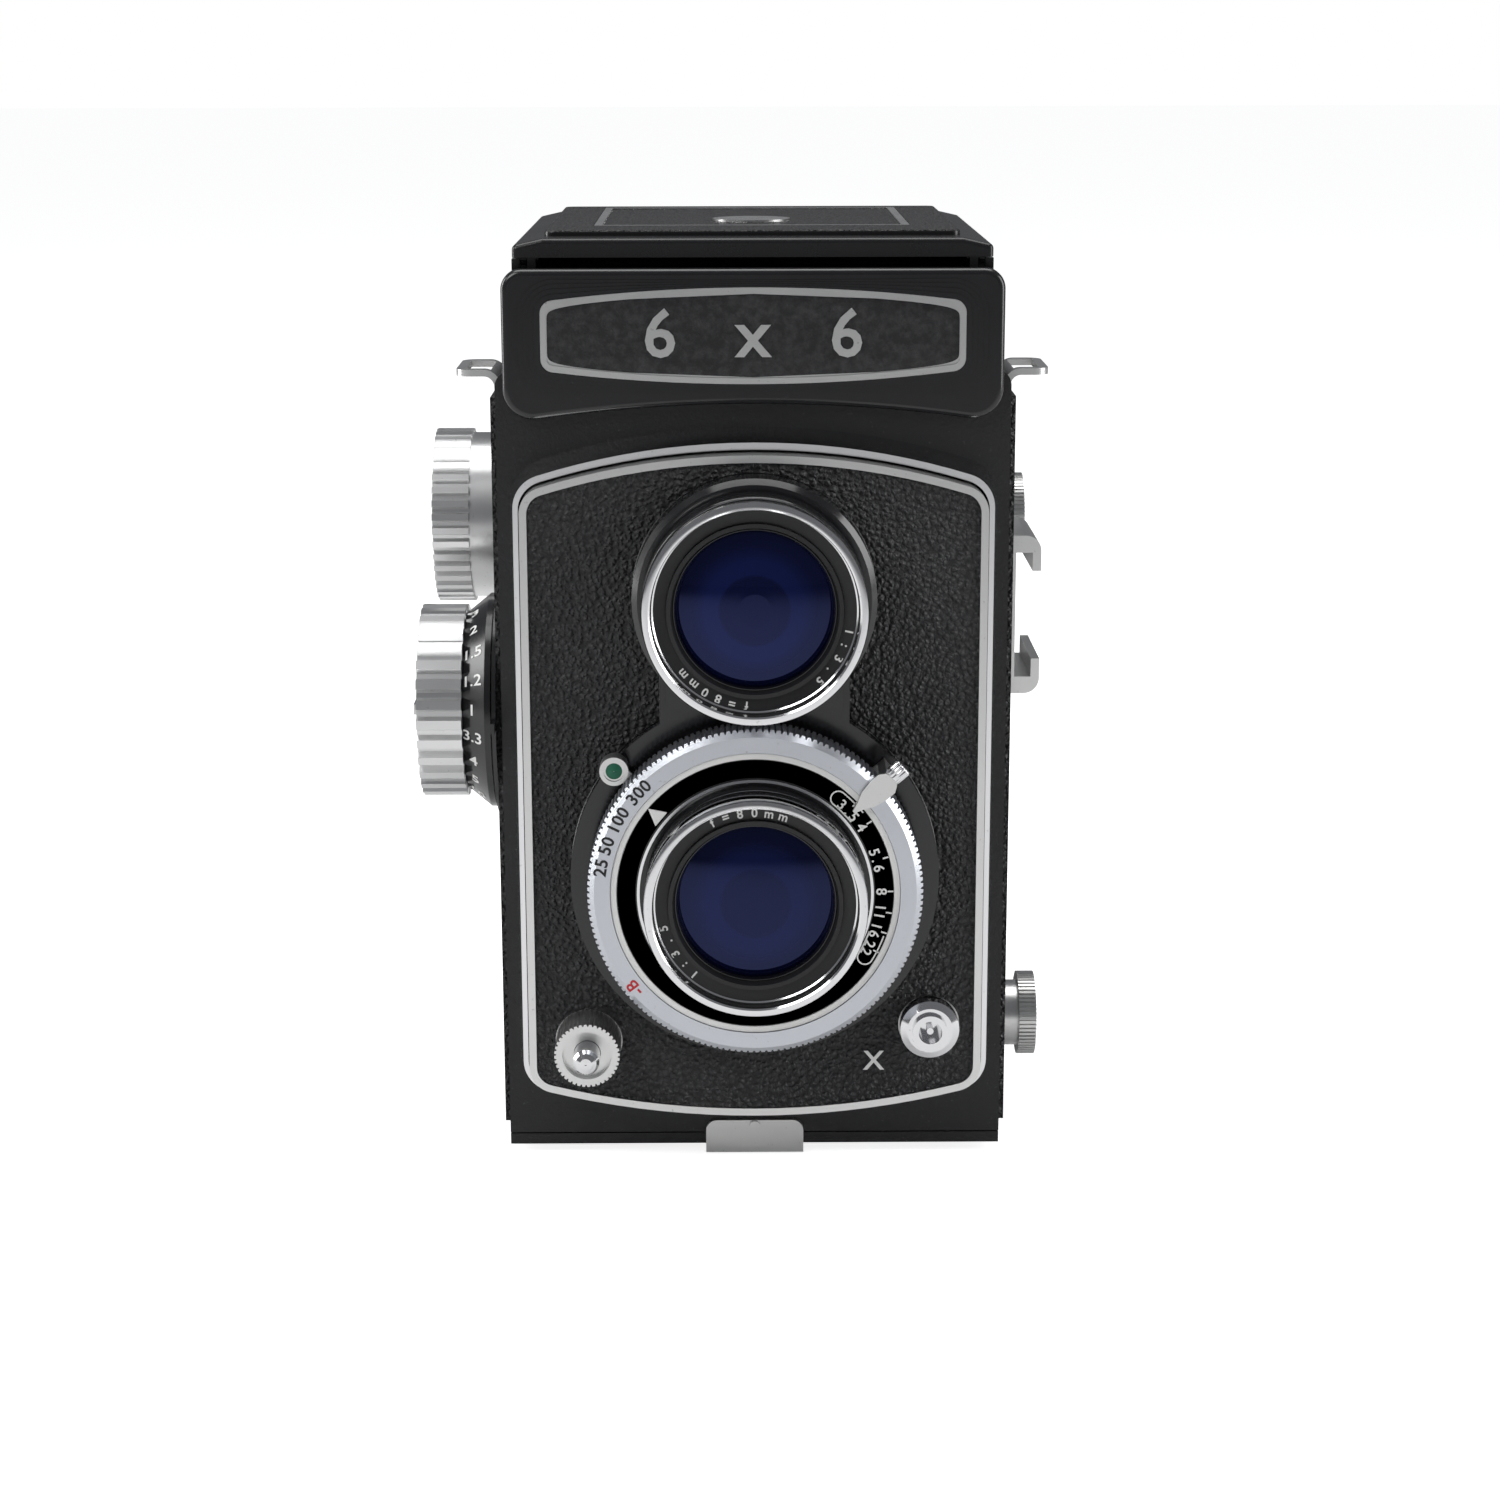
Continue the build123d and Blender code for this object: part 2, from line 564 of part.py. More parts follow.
def mirror_holder():
    """Tray behind the mirror with a lip under the deck and clips at its sides."""
    tilt = Pos(0, MIRROR_Y, VIEW_Z) * Rot(45, 0, 0)
    length = MIRROR_LENGTH
    half = MIRROR_HALF + 2
    tray = tilt * Pos(0, 0, -MIRROR_GLASS - 0.5) * Box(2 * half, length, 1.0)
    for side in (-1, 1):
        wall = Pos(side * (half - 1), 0, -MIRROR_GLASS / 2) * Box(2, length, MIRROR_GLASS)
        tray += tilt * wall
    reach = length / 2 * sin(radians(45))
    tray += block((-half, half), (MIRROR_Y + reach - 0.2, MIRROR_Y + reach + 1.8),
                  (VIEW_Z + reach - 3.0, DECK_UNDER))
    return tray - tilt * Box(2 * MIRROR_HALF + 0.1, length + 10, MIRROR_GLASS * 2)


# ---- focusing drive ------------------------------------------------------------
def focus_knob():
    """Coarsely fluted knob with a plain hub that reaches the distance scale."""
    depth = FOCUS_KNOB_X[1] - FOCUS_KNOB_X[0]
    rim = side_plate(toothed(FOCUS_KNOB_RADIUS, 1.1, 30, 0.45), 0, depth)
    knob = Pos(FOCUS_KNOB_X[0], *FOCUS_YZ) * rim
    outer = FOCUS_KNOB_X[0]
    knob -= rod("x", FOCUS_YZ, DISC_RADIUS + 0.3, (outer - 1, outer + DISC_DEPTH))
    hub = rod("x", FOCUS_YZ, 6.5, (FOCUS_KNOB_X[1], -SKIN - 0.9))
    knob += hub
    return knob - rod("x", FOCUS_YZ, FOCUS_SHAFT_RADIUS, (outer + DISC_DEPTH, 0))


def distance_scale():
    """Black cone beside the side wall that carries the distances."""
    face = FOCUS_KNOB_X[1]
    cone = turned_x(FOCUS_YZ, [(-SKIN - 0.9, 6.5), (-SKIN - 0.9, 16.5), (-SKIN - 1.8, 16.5),
                               (face + 0.05, 13.6), (face + 0.05, 6.5)])
    return cone


def focus_shaft():
    """Cross shaft between the two cams, journalled in both side walls."""
    shaft = rod("x", FOCUS_YZ, FOCUS_SHAFT_RADIUS, (FOCUS_KNOB_X[0] + DISC_DEPTH, CAM_X[1] + 0.2))
    return shaft + rod("x", FOCUS_YZ, 1.5, (CAM_X[1] + 0.2, CASE_HALF - 1.0))


def focus_cam(side):
    """Spiral disc on the cross shaft; its edge moves by CAM_RISE for each radian."""
    follow = pi                     # the followers touch on the side of the subject
    low = -FOCUS_IN / CAM_RISE - 0.32
    high = FOCUS_OUT / CAM_RISE + 0.12
    steps = 48
    points = []
    for step in range(steps + 1):
        turn = low + (high - low) * step / steps
        reach = CAM_NOW + CAM_RISE * turn
        angle = follow + turn
        points.append((reach * cos(angle), reach * sin(angle)))
    spiral = Spline(*points)
    back = Line(points[-1], points[0])
    face = make_face([spiral, back])
    disc = Circle(CAM_BASE - 0.8) + face
    start = min(side * CAM_X[0], side * CAM_X[1])
    cam = Pos(0, *FOCUS_YZ) * side_plate(disc, start, CAM_X[1] - CAM_X[0])
    return cam - rod("x", FOCUS_YZ, FOCUS_SHAFT_RADIUS, (start - 1, start + 3))


def film_speed_dial():
    """Reminder disc let into the focusing knob, with a raised finger bar."""
    start = FOCUS_KNOB_X[0]
    disc = rod("x", FOCUS_YZ, DISC_RADIUS, (start - 0.4, start + DISC_DEPTH - 0.05))
    y, z = FOCUS_YZ
    return disc + block((start - 1.1, start - 0.4), (y - 7, y + 7), (z - 0.8, z + 0.8))


# ---- film transport ----------------------------------------------------------
def wind_knob():
    """Winding knob with straight flutes, a plain collar and a bored centre."""
    outer, inner = WIND_KNOB_X
    rim = side_plate(toothed(WIND_KNOB_RADIUS, 0.9, 40, 0.45), 0, inner - outer)
    knob = Pos(outer, *WIND_YZ) * rim
    knob += rod("x", WIND_YZ, WIND_KNOB_RADIUS - 0.7, (inner, -SKIN - 2.2))
    knob += rod("x", WIND_YZ, 9.0, (-SKIN - 2.2, -SKIN - 0.6))
    knob -= rod("x", WIND_YZ, 5.0 + 0.2, (outer - 1, outer + 3.4))
    return knob - rod("x", WIND_YZ, WIND_SHAFT_RADIUS, (outer, 0))


def wind_shaft():
    """Shaft from the winding knob to the key that enters the spool."""
    shaft = rod("x", WIND_YZ, WIND_SHAFT_RADIUS, (WIND_KNOB_X[0] + 3.4, -CAVITY_HALF + 0.9))
    y, z = WIND_YZ
    return shaft + block((-CAVITY_HALF + 0.9, -SPOOL_LENGTH / 2 + 3.5), (y - 2.6, y + 2.6),
                         (z - 0.6, z + 0.6))


def take_up_spool():
    """Empty film spool: two flanges on a slotted core, bored at both ends."""
    half = SPOOL_LENGTH / 2
    spool = rod("x", WIND_YZ, SPOOL_CORE, (-half, half))
    for side in (-1, 1):
        flange = sorted((side * half, side * (half - 0.8)))
        spool += rod("x", WIND_YZ, SPOOL_FLANGE, flange)
        bore = sorted((side * (half + 1), side * (half - 5)))
        spool -= rod("x", WIND_YZ, 2.9, bore)
    y, z = WIND_YZ
    slot = block((-26, 26), (y - 0.7, y + 0.7), (z - 20, z + 20))
    spool -= slot
    key = block((-half - 1, -half + 3.6), (y - 4, y + 4), (z - 0.65, z + 0.65))
    return spool - key


def wind_button():
    """Sprung button in the middle of the winding knob that frees the counter."""
    outer = WIND_KNOB_X[0]
    face = Pos(outer, *WIND_YZ) * side_plate(Circle(5.0), 0, 0.8)
    return face + rod("x", WIND_YZ, 3.0, (outer + 0.8, outer + 1.2))


def pull_knob(centre):
    """Knurled knob that is pulled outwards to free a spool, and its stem."""
    outer = side_plate(toothed(PULL_KNOB_RADIUS, 0.35, 60), 0,
                       PULL_KNOB_X[1] - PULL_KNOB_X[0])
    knob = Pos(PULL_KNOB_X[0], *centre) * outer
    knob += rod("x", centre, 5.2, (SKIN + 0.3, PULL_KNOB_X[0]))
    knob -= rod("x", centre, 3.6, (PULL_KNOB_X[1] - 0.6, PULL_KNOB_X[1] + 1))
    half = SPOOL_LENGTH / 2
    stem = rod("x", centre, PULL_STEM, (half + 1.1, SKIN + 0.3))
    return knob + stem + rod("x", centre, 2.7, (half - 2.4, half + 1.1))


def film_roller(height):
    """Polished roller at one end of the film gate, with its journals."""
    roller = rod("x", (ROLLER_Y, height), ROLLER_RADIUS, (-CAVITY_HALF + 0.3, CAVITY_HALF - 0.3))
    return roller + rod("x", (ROLLER_Y, height), 0.9, (-CASE_HALF + 0.9, CASE_HALF - 0.9))


# ---- focusing hood -------------------------------------------------------------
def hood_base():
    """Four-walled frame on the deck into which the panels fold."""
    frame = block((-HOOD_HALF, HOOD_HALF), (HOOD_FRONT, HOOD_REAR), (BODY_TOP, HOOD_RIM))
    upright = frame.edges().filter_by(Axis.Z)
    frame = fillet(upright, 1.2)
    inner = HOOD_HALF - HOOD_WALL
    frame -= block((-inner, inner), (HOOD_FRONT + HOOD_WALL, HOOD_REAR - HOOD_WALL),
                   (BODY_TOP - 1, HOOD_RIM + 1))
    flange = block((-inner, inner), (HOOD_FRONT + HOOD_WALL, HOOD_REAR - HOOD_WALL),
                   (BODY_TOP, BODY_TOP + 0.8))
    opening = SCREEN_HALF - 1.2
    flange -= block((-opening, opening), (SCREEN_Y[0] + 1.2, SCREEN_Y[1] - 1.2),
                    (BODY_TOP - 1, BODY_TOP + 2))
    y, z = LID_PIVOT
    notch = HOOD_RIM - FRONT_DROP
    frame -= block((-HOOD_HALF - 1, HOOD_HALF + 1), (HOOD_FRONT - 1, y + 0.3), (notch, HOOD_RIM + 1))
    frame += flange
    for side in (-1, 1):
        foot = sorted((side * (EAR_X[1] + 0.2), side * inner))
        frame += block(foot, (y, y + 2.0), (z - 6, notch))
        ear = sorted((side * (EAR_X[1] + 0.2), side * (inner - 0.2)))
        frame += block(ear, (y, y + 2.0), (notch, z))
        frame += rod("x", (y, z), PIN_RADIUS + 0.35, ear)
        frame -= rod("x", (y, z), PIN_RADIUS, sorted((side * EAR_X[1], side * inner)))
    return frame


def lid_section(half, low, crest):
    """Cross-section of the lid from side to side, with sloping shoulders."""
    slope = half - LID_FIELD_HALF
    face = make_face(Polyline((-half, low), (half, low), (half, crest - LID_SHOULDER),
                              (half - slope, crest), (slope - half, crest),
                              (-half, crest - LID_SHOULDER), close=True))
    return fillet(face.vertices().sort_by(Axis.Y)[-4:], 0.8)


def hood_lid():
    """Shallow lid hinged at the front, its field raised behind a rounded front strip."""
    y_front = HOOD_FRONT + 0.4
    low = HOOD_RIM + LID_GAP
    strip = LID_TOP - LID_STEP
    half = HOOD_HALF - 0.2
    shell = front_plate(lid_section(half, low, strip), HOOD_REAR, HOOD_REAR - y_front)
    ends = [edge for face in (shell.faces().sort_by(Axis.Y)[0], shell.faces().sort_by(Axis.Y)[-1])
            for edge in face.edges().sort_by(Axis.Z) if edge.center().Z > strip - LID_SHOULDER]
    shell = fillet(ends, 0.75)
    field = block((-LID_FIELD_HALF, LID_FIELD_HALF), (LID_FIELD_FRONT, HOOD_REAR - 2.5),
                  (strip - 0.4, LID_TOP))
    field = fillet(field.edges().filter_by(Axis.Z), 1.5)
    shell += fillet(field.faces().sort_by(Axis.Z)[-1].edges(), 0.4)
    inner = front_plate(lid_section(half - LID_PLATE, low - 1, strip - LID_PLATE),
                        HOOD_REAR - LID_PLATE, HOOD_REAR - y_front - 2 * LID_PLATE)
    shell -= inner
    shell -= block((-FLAP_HALF, FLAP_HALF), FLAP_Y, (LID_TOP - 0.5, LID_TOP + 1))
    y, z = LID_PIVOT
    roof = strip - LID_PLATE
    for side in (-1, 1):
        ear_x = sorted((side * EAR_X[0], side * EAR_X[1]))
        ear = block(ear_x, (y - 1.3, y + 1.3), (z - 1.3, roof))
        shell += ear & block(ear_x, (y - 2, y + 2), (z - 2, roof - 0.4))
        shell += block(sorted((side * (EAR_X[0] - 1.2), side * EAR_X[1])), (y - 1.3, y + 1.3),
                       (roof - 0.6, roof))
        shell -= rod("x", (y, z), PIN_RADIUS + RUN, (ear_x[0] - 1, ear_x[1] + 1))
        lug_x = sorted((side * 13.2, side * 14.2))
        shell += block(lug_x, (ARM_Y - 1.4, ARM_Y + 1.4), (ARM_Z - 0.4, roof))
        shell -= rod("x", (ARM_Y, ARM_Z), 0.35, (lug_x[0] - 1, lug_x[1] + 1))
    return shell


def finder_flap():
    """Flap of the sports finder, shut flush in the lid, with a raised rim."""
    gap = 0.1
    half = FLAP_HALF - gap
    y = (FLAP_Y[0] + gap, FLAP_Y[1] - gap)
    flap = block((-half, half), y, (LID_TOP - 0.5, LID_TOP))
    flap -= block((-half + 1.2, half - 1.2), (y[0] + 1.2, y[1] - 1.2),
                  (LID_TOP - 0.25, LID_TOP + 1))
    badge = Pos(0, BADGE_Y, LID_TOP - 0.3) * extrude(Ellipse(6.0, 5.4), amount=0.45)
    return flap + badge


def rear_panel():
    """Rear wall of the hood, hinged at its foot, folded flat below the lid."""
    y, z = REAR_PIVOT
    half = PANEL_HALF
    panel = block((-half, half), (y - REAR_HEIGHT, y - 0.4), (z, z + PANEL))
    panel = fillet(panel.edges().filter_by(Axis.Z).sort_by(Axis.Y)[:2], 3)
    panel += rod("x", (y, z + PANEL / 2), 1.3, (-half, half))
    for x in (-22, 0, 22):
        panel -= rod("x", (y, z + PANEL / 2), 2.2, (x - 3, x + 3)) & block(
            (x - 3, x + 3), (y - 1.7, y + 3), (z - 3, z + 3))
    return panel - rod("x", (y, z + PANEL / 2), PIN_RADIUS + RUN, (-half - 1, half + 1))


def side_panel(side):
    """Side wall of the hood: a trapezium hinged along its long edge."""
    x, z = SIDE_PIVOT
    slope = 0.42
    reach = SIDE_HEIGHT
    base = SIDE_BASE / 2
    tip = base - slope * reach
    face = make_face(Polyline((0.4, -base), (0.4, base), (reach, tip), (reach, -tip),
                              close=True))
    face = fillet(face.vertices().sort_by(Axis.X)[-2:], 3)
    panel = extrude(face, amount=PANEL)
    panel = Pos(0, SIDE_MIDDLE, z) * panel
    barrel = rod("y", (0, z + PANEL / 2), 1.1, (SIDE_MIDDLE - base, SIDE_MIDDLE + base))
    panel += barrel
    for y in (-14, 14):
        middle = SIDE_MIDDLE + y
        panel -= rod("y", (0, z + PANEL / 2), 2.0, (middle - 3, middle + 3)) & block(
            (-2, 1.6), (middle - 3, middle + 3), (z - 3, z + 3))
    panel -= rod("y", (0, z + PANEL / 2), PIN_RADIUS + RUN,
                 (SIDE_MIDDLE - base - 1, SIDE_MIDDLE + base + 1))
    panel = Pos(-x, 0, 0) * panel
    return mirror(panel, about=Plane.YZ) if side > 0 else panel


def magnifier_arm():
    """Forked frame that holds the magnifier level above the screen."""
    half = 12.6
    low = ARM_Z - ARM_THICK / 2
    high = ARM_Z + ARM_THICK / 2
    y_end = ARM_Y + ARM_LENGTH
    frame = block((-half, half), (ARM_Y - 0.6, y_end), (low, high))
    frame = fillet(frame.edges().filter_by(Axis.Z).sort_by(Axis.Y)[-2:], 6)
    frame -= rod("z", (0, LENS_Y), MAGNIFIER_RADIUS, (low - 1, high + 1))
    return frame + rod("x", (ARM_Y, ARM_Z), 0.3, (-14.0, 14.0))


def magnifier_lens():
    """Round plano-convex glass in the magnifier's frame."""
    return rod("z", (0, LENS_Y), MAGNIFIER_RADIUS - 0.02,
               (ARM_Z - ARM_THICK / 2, ARM_Z + ARM_THICK / 2))


def hinge_pins():
    """Pins of the lid, the panels and the door, with the door's fixed knuckles."""
    pins = []
    wall = HOOD_HALF - HOOD_WALL
    for side in (-1, 1):
        span = sorted((side * (EAR_X[0] - 0.4), side * (wall - 0.2)))
        pins.append(rod("x", LID_PIVOT, PIN_RADIUS, span))
    y, z = REAR_PIVOT
    pin = rod("x", (y, z + PANEL / 2), PIN_RADIUS, (-wall, wall))
    for x in (-22, 0, 22):
        pin += rod("x", (y, z + PANEL / 2), 1.2, (x - 2.7, x + 2.7)) & block(
            (x - 2.7, x + 2.7), (y - 1.0, y + 1.2), (z - 1, z + 2))
        pin += block((x - 2.7, x + 2.7), (y + 0.2, HOOD_REAR - HOOD_WALL),
                     (z + PANEL / 2 - 0.9, z + PANEL / 2 + 0.9))
    pins.append(pin)
    x, z = SIDE_PIVOT
    for side in (-1, 1):
        centre = (side * x, z + PANEL / 2)
        span = (SIDE_MIDDLE - SIDE_BASE / 2, SIDE_MIDDLE + SIDE_BASE / 2)
        pin = rod("y", centre, PIN_RADIUS, span)
        for y in (-14, 14):
            knuckle = sorted((side * (x - 0.2), side * wall))
            pin += block(knuckle, (SIDE_MIDDLE + y - 2.7, SIDE_MIDDLE + y + 2.7),
                         (z + PANEL / 2 - 0.8, z + PANEL / 2 + 0.8))
        pins.append(pin)
    door = rod("x", DOOR_PIVOT, 0.7, (-DOOR_HALF, DOOR_HALF))
    for x in DOOR_KNUCKLES:
        door += rod("x", DOOR_PIVOT, 1.4, (x - KNUCKLE, x + KNUCKLE))
        door += block((x - KNUCKLE, x + KNUCKLE), (CASE_REAR, DOOR_PIVOT[0]),
                      (DOOR_PIVOT[1] - 0.6, DOOR_PIVOT[1] + 1.4))
    pins.append(door)
    return Compound(children=pins)


# ---- door and base ---------------------------------------------------------------
def back_door():
    """One-piece back and base plate, hinged at the top of the back."""
    rear = BODY_BACK - LEATHER
    y, z = DOOR_PIVOT
    top = z - 1.8
    door = block((-DOOR_HALF, DOOR_HALF), (DOOR_INNER, rear), (GROUND_GAP, top))
    door += block((-DOOR_HALF, DOOR_HALF), (BODY_FRONT + SEAM, rear), (GROUND_GAP, BASE_TOP))
    heel = door.edges().filter_by(Axis.X).group_by(Axis.Y)[-1].sort_by(Axis.Z)[0]
    door = fillet(heel, 1.2)
    free = KNUCKLE + 0.2
    left, right = DOOR_KNUCKLES
    for span in ((-DOOR_HALF, left - free), (left + free, right - free),
                 (right + free, DOOR_HALF)):
        door += rod("x", DOOR_PIVOT, 1.4, span)
        door += block(span, (y - 1.1, y + 0.8), (top - 0.5, z))
    door -= rod("x", DOOR_PIVOT, 0.7 + RUN, (-DOOR_HALF - 1, DOOR_HALF + 1))
    return door - rod("z", (0, 0), BUSH_STEM, (GROUND_GAP - 1, BASE_TOP + 1))


def door_leather():
    """Covering of the back."""
    face = make_face(Polyline((-DOOR_HALF + 1, GROUND_GAP + 2.5),
                              (DOOR_HALF - 1, GROUND_GAP + 2.5),
                              (DOOR_HALF - 1, DOOR_PIVOT[1] - 3.5),
                              (-DOOR_HALF + 1, DOOR_PIVOT[1] - 3.5), close=True))
    return front_plate(fillet(face.vertices(), 2.0), BODY_BACK, LEATHER)


def pressure_plate():
    """Sprung plate that holds the film flat, on four studs."""
    y_front = FILM_Y + FILM_GAP
    half = GATE_HALF - 0.5
    plate = block((-33.0, 33.0), (y_front, y_front + 1.2), (TAKE_Z - half, TAKE_Z + half))
    plate = fillet(plate.edges().filter_by(Axis.Y), 3)
    for x in (-24, 24):
        for z in (TAKE_Z - 20, TAKE_Z + 20):
            plate += rod("y", (x, z), 1.2, (y_front + 1.0, DOOR_INNER - PLATE_TRAVEL - 0.3))
    return plate


def lock_dial():
    """Knurled dial round the tripod socket that draws the door's bolt."""
    dial = extrude(toothed(DIAL_RADIUS, 0.4, 72), amount=GROUND_GAP - 0.5)
    dial = Pos(0, 0, 0.3) * dial
    dial -= rod("z", (0, 0), TRIPOD_BOSS + 0.2, (-1, 3))
    for side in (-1, 1):
        reach = sorted((side * 8.0, side * 13.5))
        dial -= block(reach, (-1.5, 1.5), (-1, 0.8))
    return dial


def tripod_bush():
    """Tapped bush with a flange that stands level with the feet."""
    bush = rod("z", (0, 0), TRIPOD_BOSS, (0, GROUND_GAP))
    bush += rod("z", (0, 0), BUSH_STEM, (GROUND_GAP, TRIPOD_DEPTH + 2.0))
    return bush - rod("z", (0, 0), TRIPOD_RADIUS, (-1, TRIPOD_DEPTH))


def door_feet():
    """Four turned feet riveted to the base plate."""
    feet = []
    for x in (-FOOT_X, FOOT_X):
        for y in FOOT_Y:
            foot = rod("z", (x, y), 3.0, (0, GROUND_GAP))
            low = foot.edges().sort_by(Axis.Z)[0]
            feet.append(fillet(low, 0.6))
    return Compound(children=feet)


# ---- lens board --------------------------------------------------------------
def lens_board():
    """Tray that carries both lenses, with its guide rods and cam followers."""
    wall = board_outline(0) - board_outline(-BOARD_WALL)
    board = front_plate(wall, BOARD_BACK, BOARD_BACK - BOARD_SEAT)
    board += front_plate(board_outline(0), BOARD_SEAT + BOARD_PLATE, BOARD_PLATE)
    tip = FOCUS_YZ[0] - CAM_NOW - FOLLOWER_GAP
    for side in (-1, 1):
        x = side * ROD_X
        board += rod("y", (x, FOCUS_YZ[1]), ROD_RADIUS, (BOARD_SEAT + 1, tip))
        for z in GUIDE_Z:
            board += rod("y", (x, z), ROD_RADIUS, (BOARD_SEAT + 1, CASE_INNER_FRONT + GUIDE_REACH))
    reach = (BOARD_SEAT - 1, BOARD_SEAT + BOARD_PLATE + 1)
    board -= rod("y", RELEASE_AT, PLUNGER_RADIUS + RUN, reach)
    board -= rod("y", (0, VIEW_Z), BARREL_RADIUS, reach)
    board -= rod("y", (0, TAKE_Z), BARREL_RADIUS, reach)
    return board


def board_trim():
    """Bright frame round the face of the lens board."""
    ring = board_outline(0) - board_outline(-TRIM_WIDTH)
    return front_plate(ring, BOARD_SEAT, BOARD_SEAT - BOARD_FACE)


def housing_outline(grow):
    """Front outline of the shutter housing: two discs joined by a neck."""
    neck = Pos(0, (VIEW_Z + TAKE_Z) / 2) * Rectangle(2 * (NECK_HALF + grow), LENS_SPACING)
    face = Pos(0, TAKE_Z) * Circle(SURROUND_RADIUS + grow) + neck
    return face + Pos(0, VIEW_Z) * Circle(VIEW_HOUSING_RADIUS + grow)


def board_leather():
    """Covering of the lens board, cut round the housing, release and socket."""
    sheet = board_outline(-TRIM_WIDTH - 0.05) - housing_outline(0.1)
    sheet = front_plate(sheet, BOARD_SEAT, LEATHER + 0.1)
    reach = (BOARD_FACE - 2, BOARD_SEAT + 1)
    sheet -= rod("y", RELEASE_AT, COLLAR_RADIUS + 0.2, reach)
    return sheet - rod("y", SYNC_AT, SOCKET_RADIUS + 0.2, reach)


def shutter_housing():
    """Black housing of the shutter and the viewing lens mount."""
    body = front_plate(housing_outline(0), BOARD_SEAT, BOARD_SEAT - SURROUND_FACE)
    y_rim = VIEW_HOUSING_FACE
    body += turned_y((0, VIEW_Z), [(0, SURROUND_FACE + 1), (VIEW_HOUSING_RADIUS, SURROUND_FACE + 1),
                                   (VIEW_HOUSING_RADIUS, y_rim + 0.8),
                                   (VIEW_HOUSING_RADIUS - 0.8, y_rim), (0, y_rim)])
    neck = (SURROUND_FACE - 1.6, SURROUND_FACE + 0.5)
    foot = TAKE_Z + SPEED_RADIUS + 1.5
    body += block((-NECK_HALF + 1, NECK_HALF - 1), neck, (foot, VIEW_Z))
    body += rod("y", (0, TAKE_Z), LEVER_BORE, (SPEED_BACK, SURROUND_FACE + 1))
    body += rod("y", (0, TAKE_Z), SPEED_BORE - RUN, (SCALE_BACK, SPEED_BACK))
    body -= rod("y", (0, TAKE_Z), BARREL_RADIUS, (-80, 0))
    return body - rod("y", (0, VIEW_Z), BARREL_RADIUS, (-80, 0))


def speed_ring():
    """Knurled ring that sets the shutter speed."""
    ring = toothed(SPEED_RADIUS, 0.35, SPEED_TEETH) - Circle(SPEED_BORE)
    back = SPEED_BACK - 0.3
    ring = front_plate(Pos(0, TAKE_Z) * ring, back, back - SPEED_FACE)
    lip = turned_y((0, TAKE_Z), [(SPEED_RADIUS - 1.0, SPEED_FACE), (SPEED_RADIUS + 1, SPEED_FACE),
                                 (SPEED_RADIUS + 1, SPEED_FACE + 2.0)])
    return ring - lip


def aperture_scale():
    """Fixed ring in front of the speed ring, with its bright border."""
    return tube("y", (0, TAKE_Z), SPEED_BORE - 0.1, BARREL_RADIUS + 0.05,
                (SCALE_FACE, SCALE_BACK))


def lever_ring(back, face):
    """Thin ring that turns on the shutter housing behind the speed ring."""
    return tube("y", (0, TAKE_Z), LEVER_RING, LEVER_BORE + RUN, (face, back))


def on_ring(angle, radius):
    """Point at an angle, counted anticlockwise as seen from the subject."""
    turn = radians(angle)
    return radius * cos(turn), TAKE_Z + radius * sin(turn)


def lever_arm(angle, low, high, width, y):
    """Flat radial arm between two radii."""
    arm = Pos((low + high) / 2, 0) * Rectangle(high - low, width)
    face = Pos(0, TAKE_Z) * Rot(0, 0, angle) * arm
    return front_plate(face, max(y), max(y) - min(y))


def aperture_lever():
    """Lever that sets the stop, with a knurled tip beside the speed ring."""
    back, face = APERTURE_LEVER_Y
    lever = lever_ring(back, face) + lever_arm(APERTURE_ANGLE, LEVER_RING - 0.5,
                                               LEVER_TIP, 2.4, APERTURE_LEVER_Y)
    tip = front_plate(toothed(1.7, 0.2, 24), back, back - SPEED_FACE - 1.2)
    x, z = on_ring(APERTURE_ANGLE, LEVER_TIP)
    return lever + Pos(x, 0, z) * tip


def cocking_lever():
    """Lever that tensions the shutter, with a round head for its enamel dot."""
    back, face = COCKING_LEVER_Y
    lever = lever_ring(back, face) + lever_arm(COCKING_ANGLE, LEVER_RING - 0.5,
                                               LEVER_TIP, 2.0, COCKING_LEVER_Y)
    x, z = on_ring(COCKING_ANGLE, LEVER_TIP + 0.1)
    head = rod("y", (x, z), 2.1, (face - 2.2, back))
    head -= rod("y", (x, z), 1.5, (face - 3, face - 1.9))
    return lever + head


def release_collar():
    """Knurled collar that guides the release plunger."""
    length = BOARD_SEAT - COLLAR_FACE
    collar = front_plate(toothed(COLLAR_RADIUS, 0.3, 40) - Circle(PLUNGER_RADIUS + RUN),
                         BOARD_SEAT, length)
    collar = Pos(RELEASE_AT[0], 0, RELEASE_AT[1]) * collar
    return collar - rod("y", RELEASE_AT, COLLAR_RADIUS - 1.2, (COLLAR_FACE - 1, COLLAR_FACE + 1.2))


def release_plunger():
    """Domed plunger of the shutter release."""
    r = PLUNGER_RADIUS
    return turned_y(RELEASE_AT, [(0, PLUNGER_TIP), (r * 0.45, PLUNGER_TIP + 0.1),
                                 (r * 0.8, PLUNGER_TIP + 0.45), (r, PLUNGER_TIP + 1.1),
                                 (r, BOARD_SEAT - 0.2), (0, BOARD_SEAT - 0.2)])


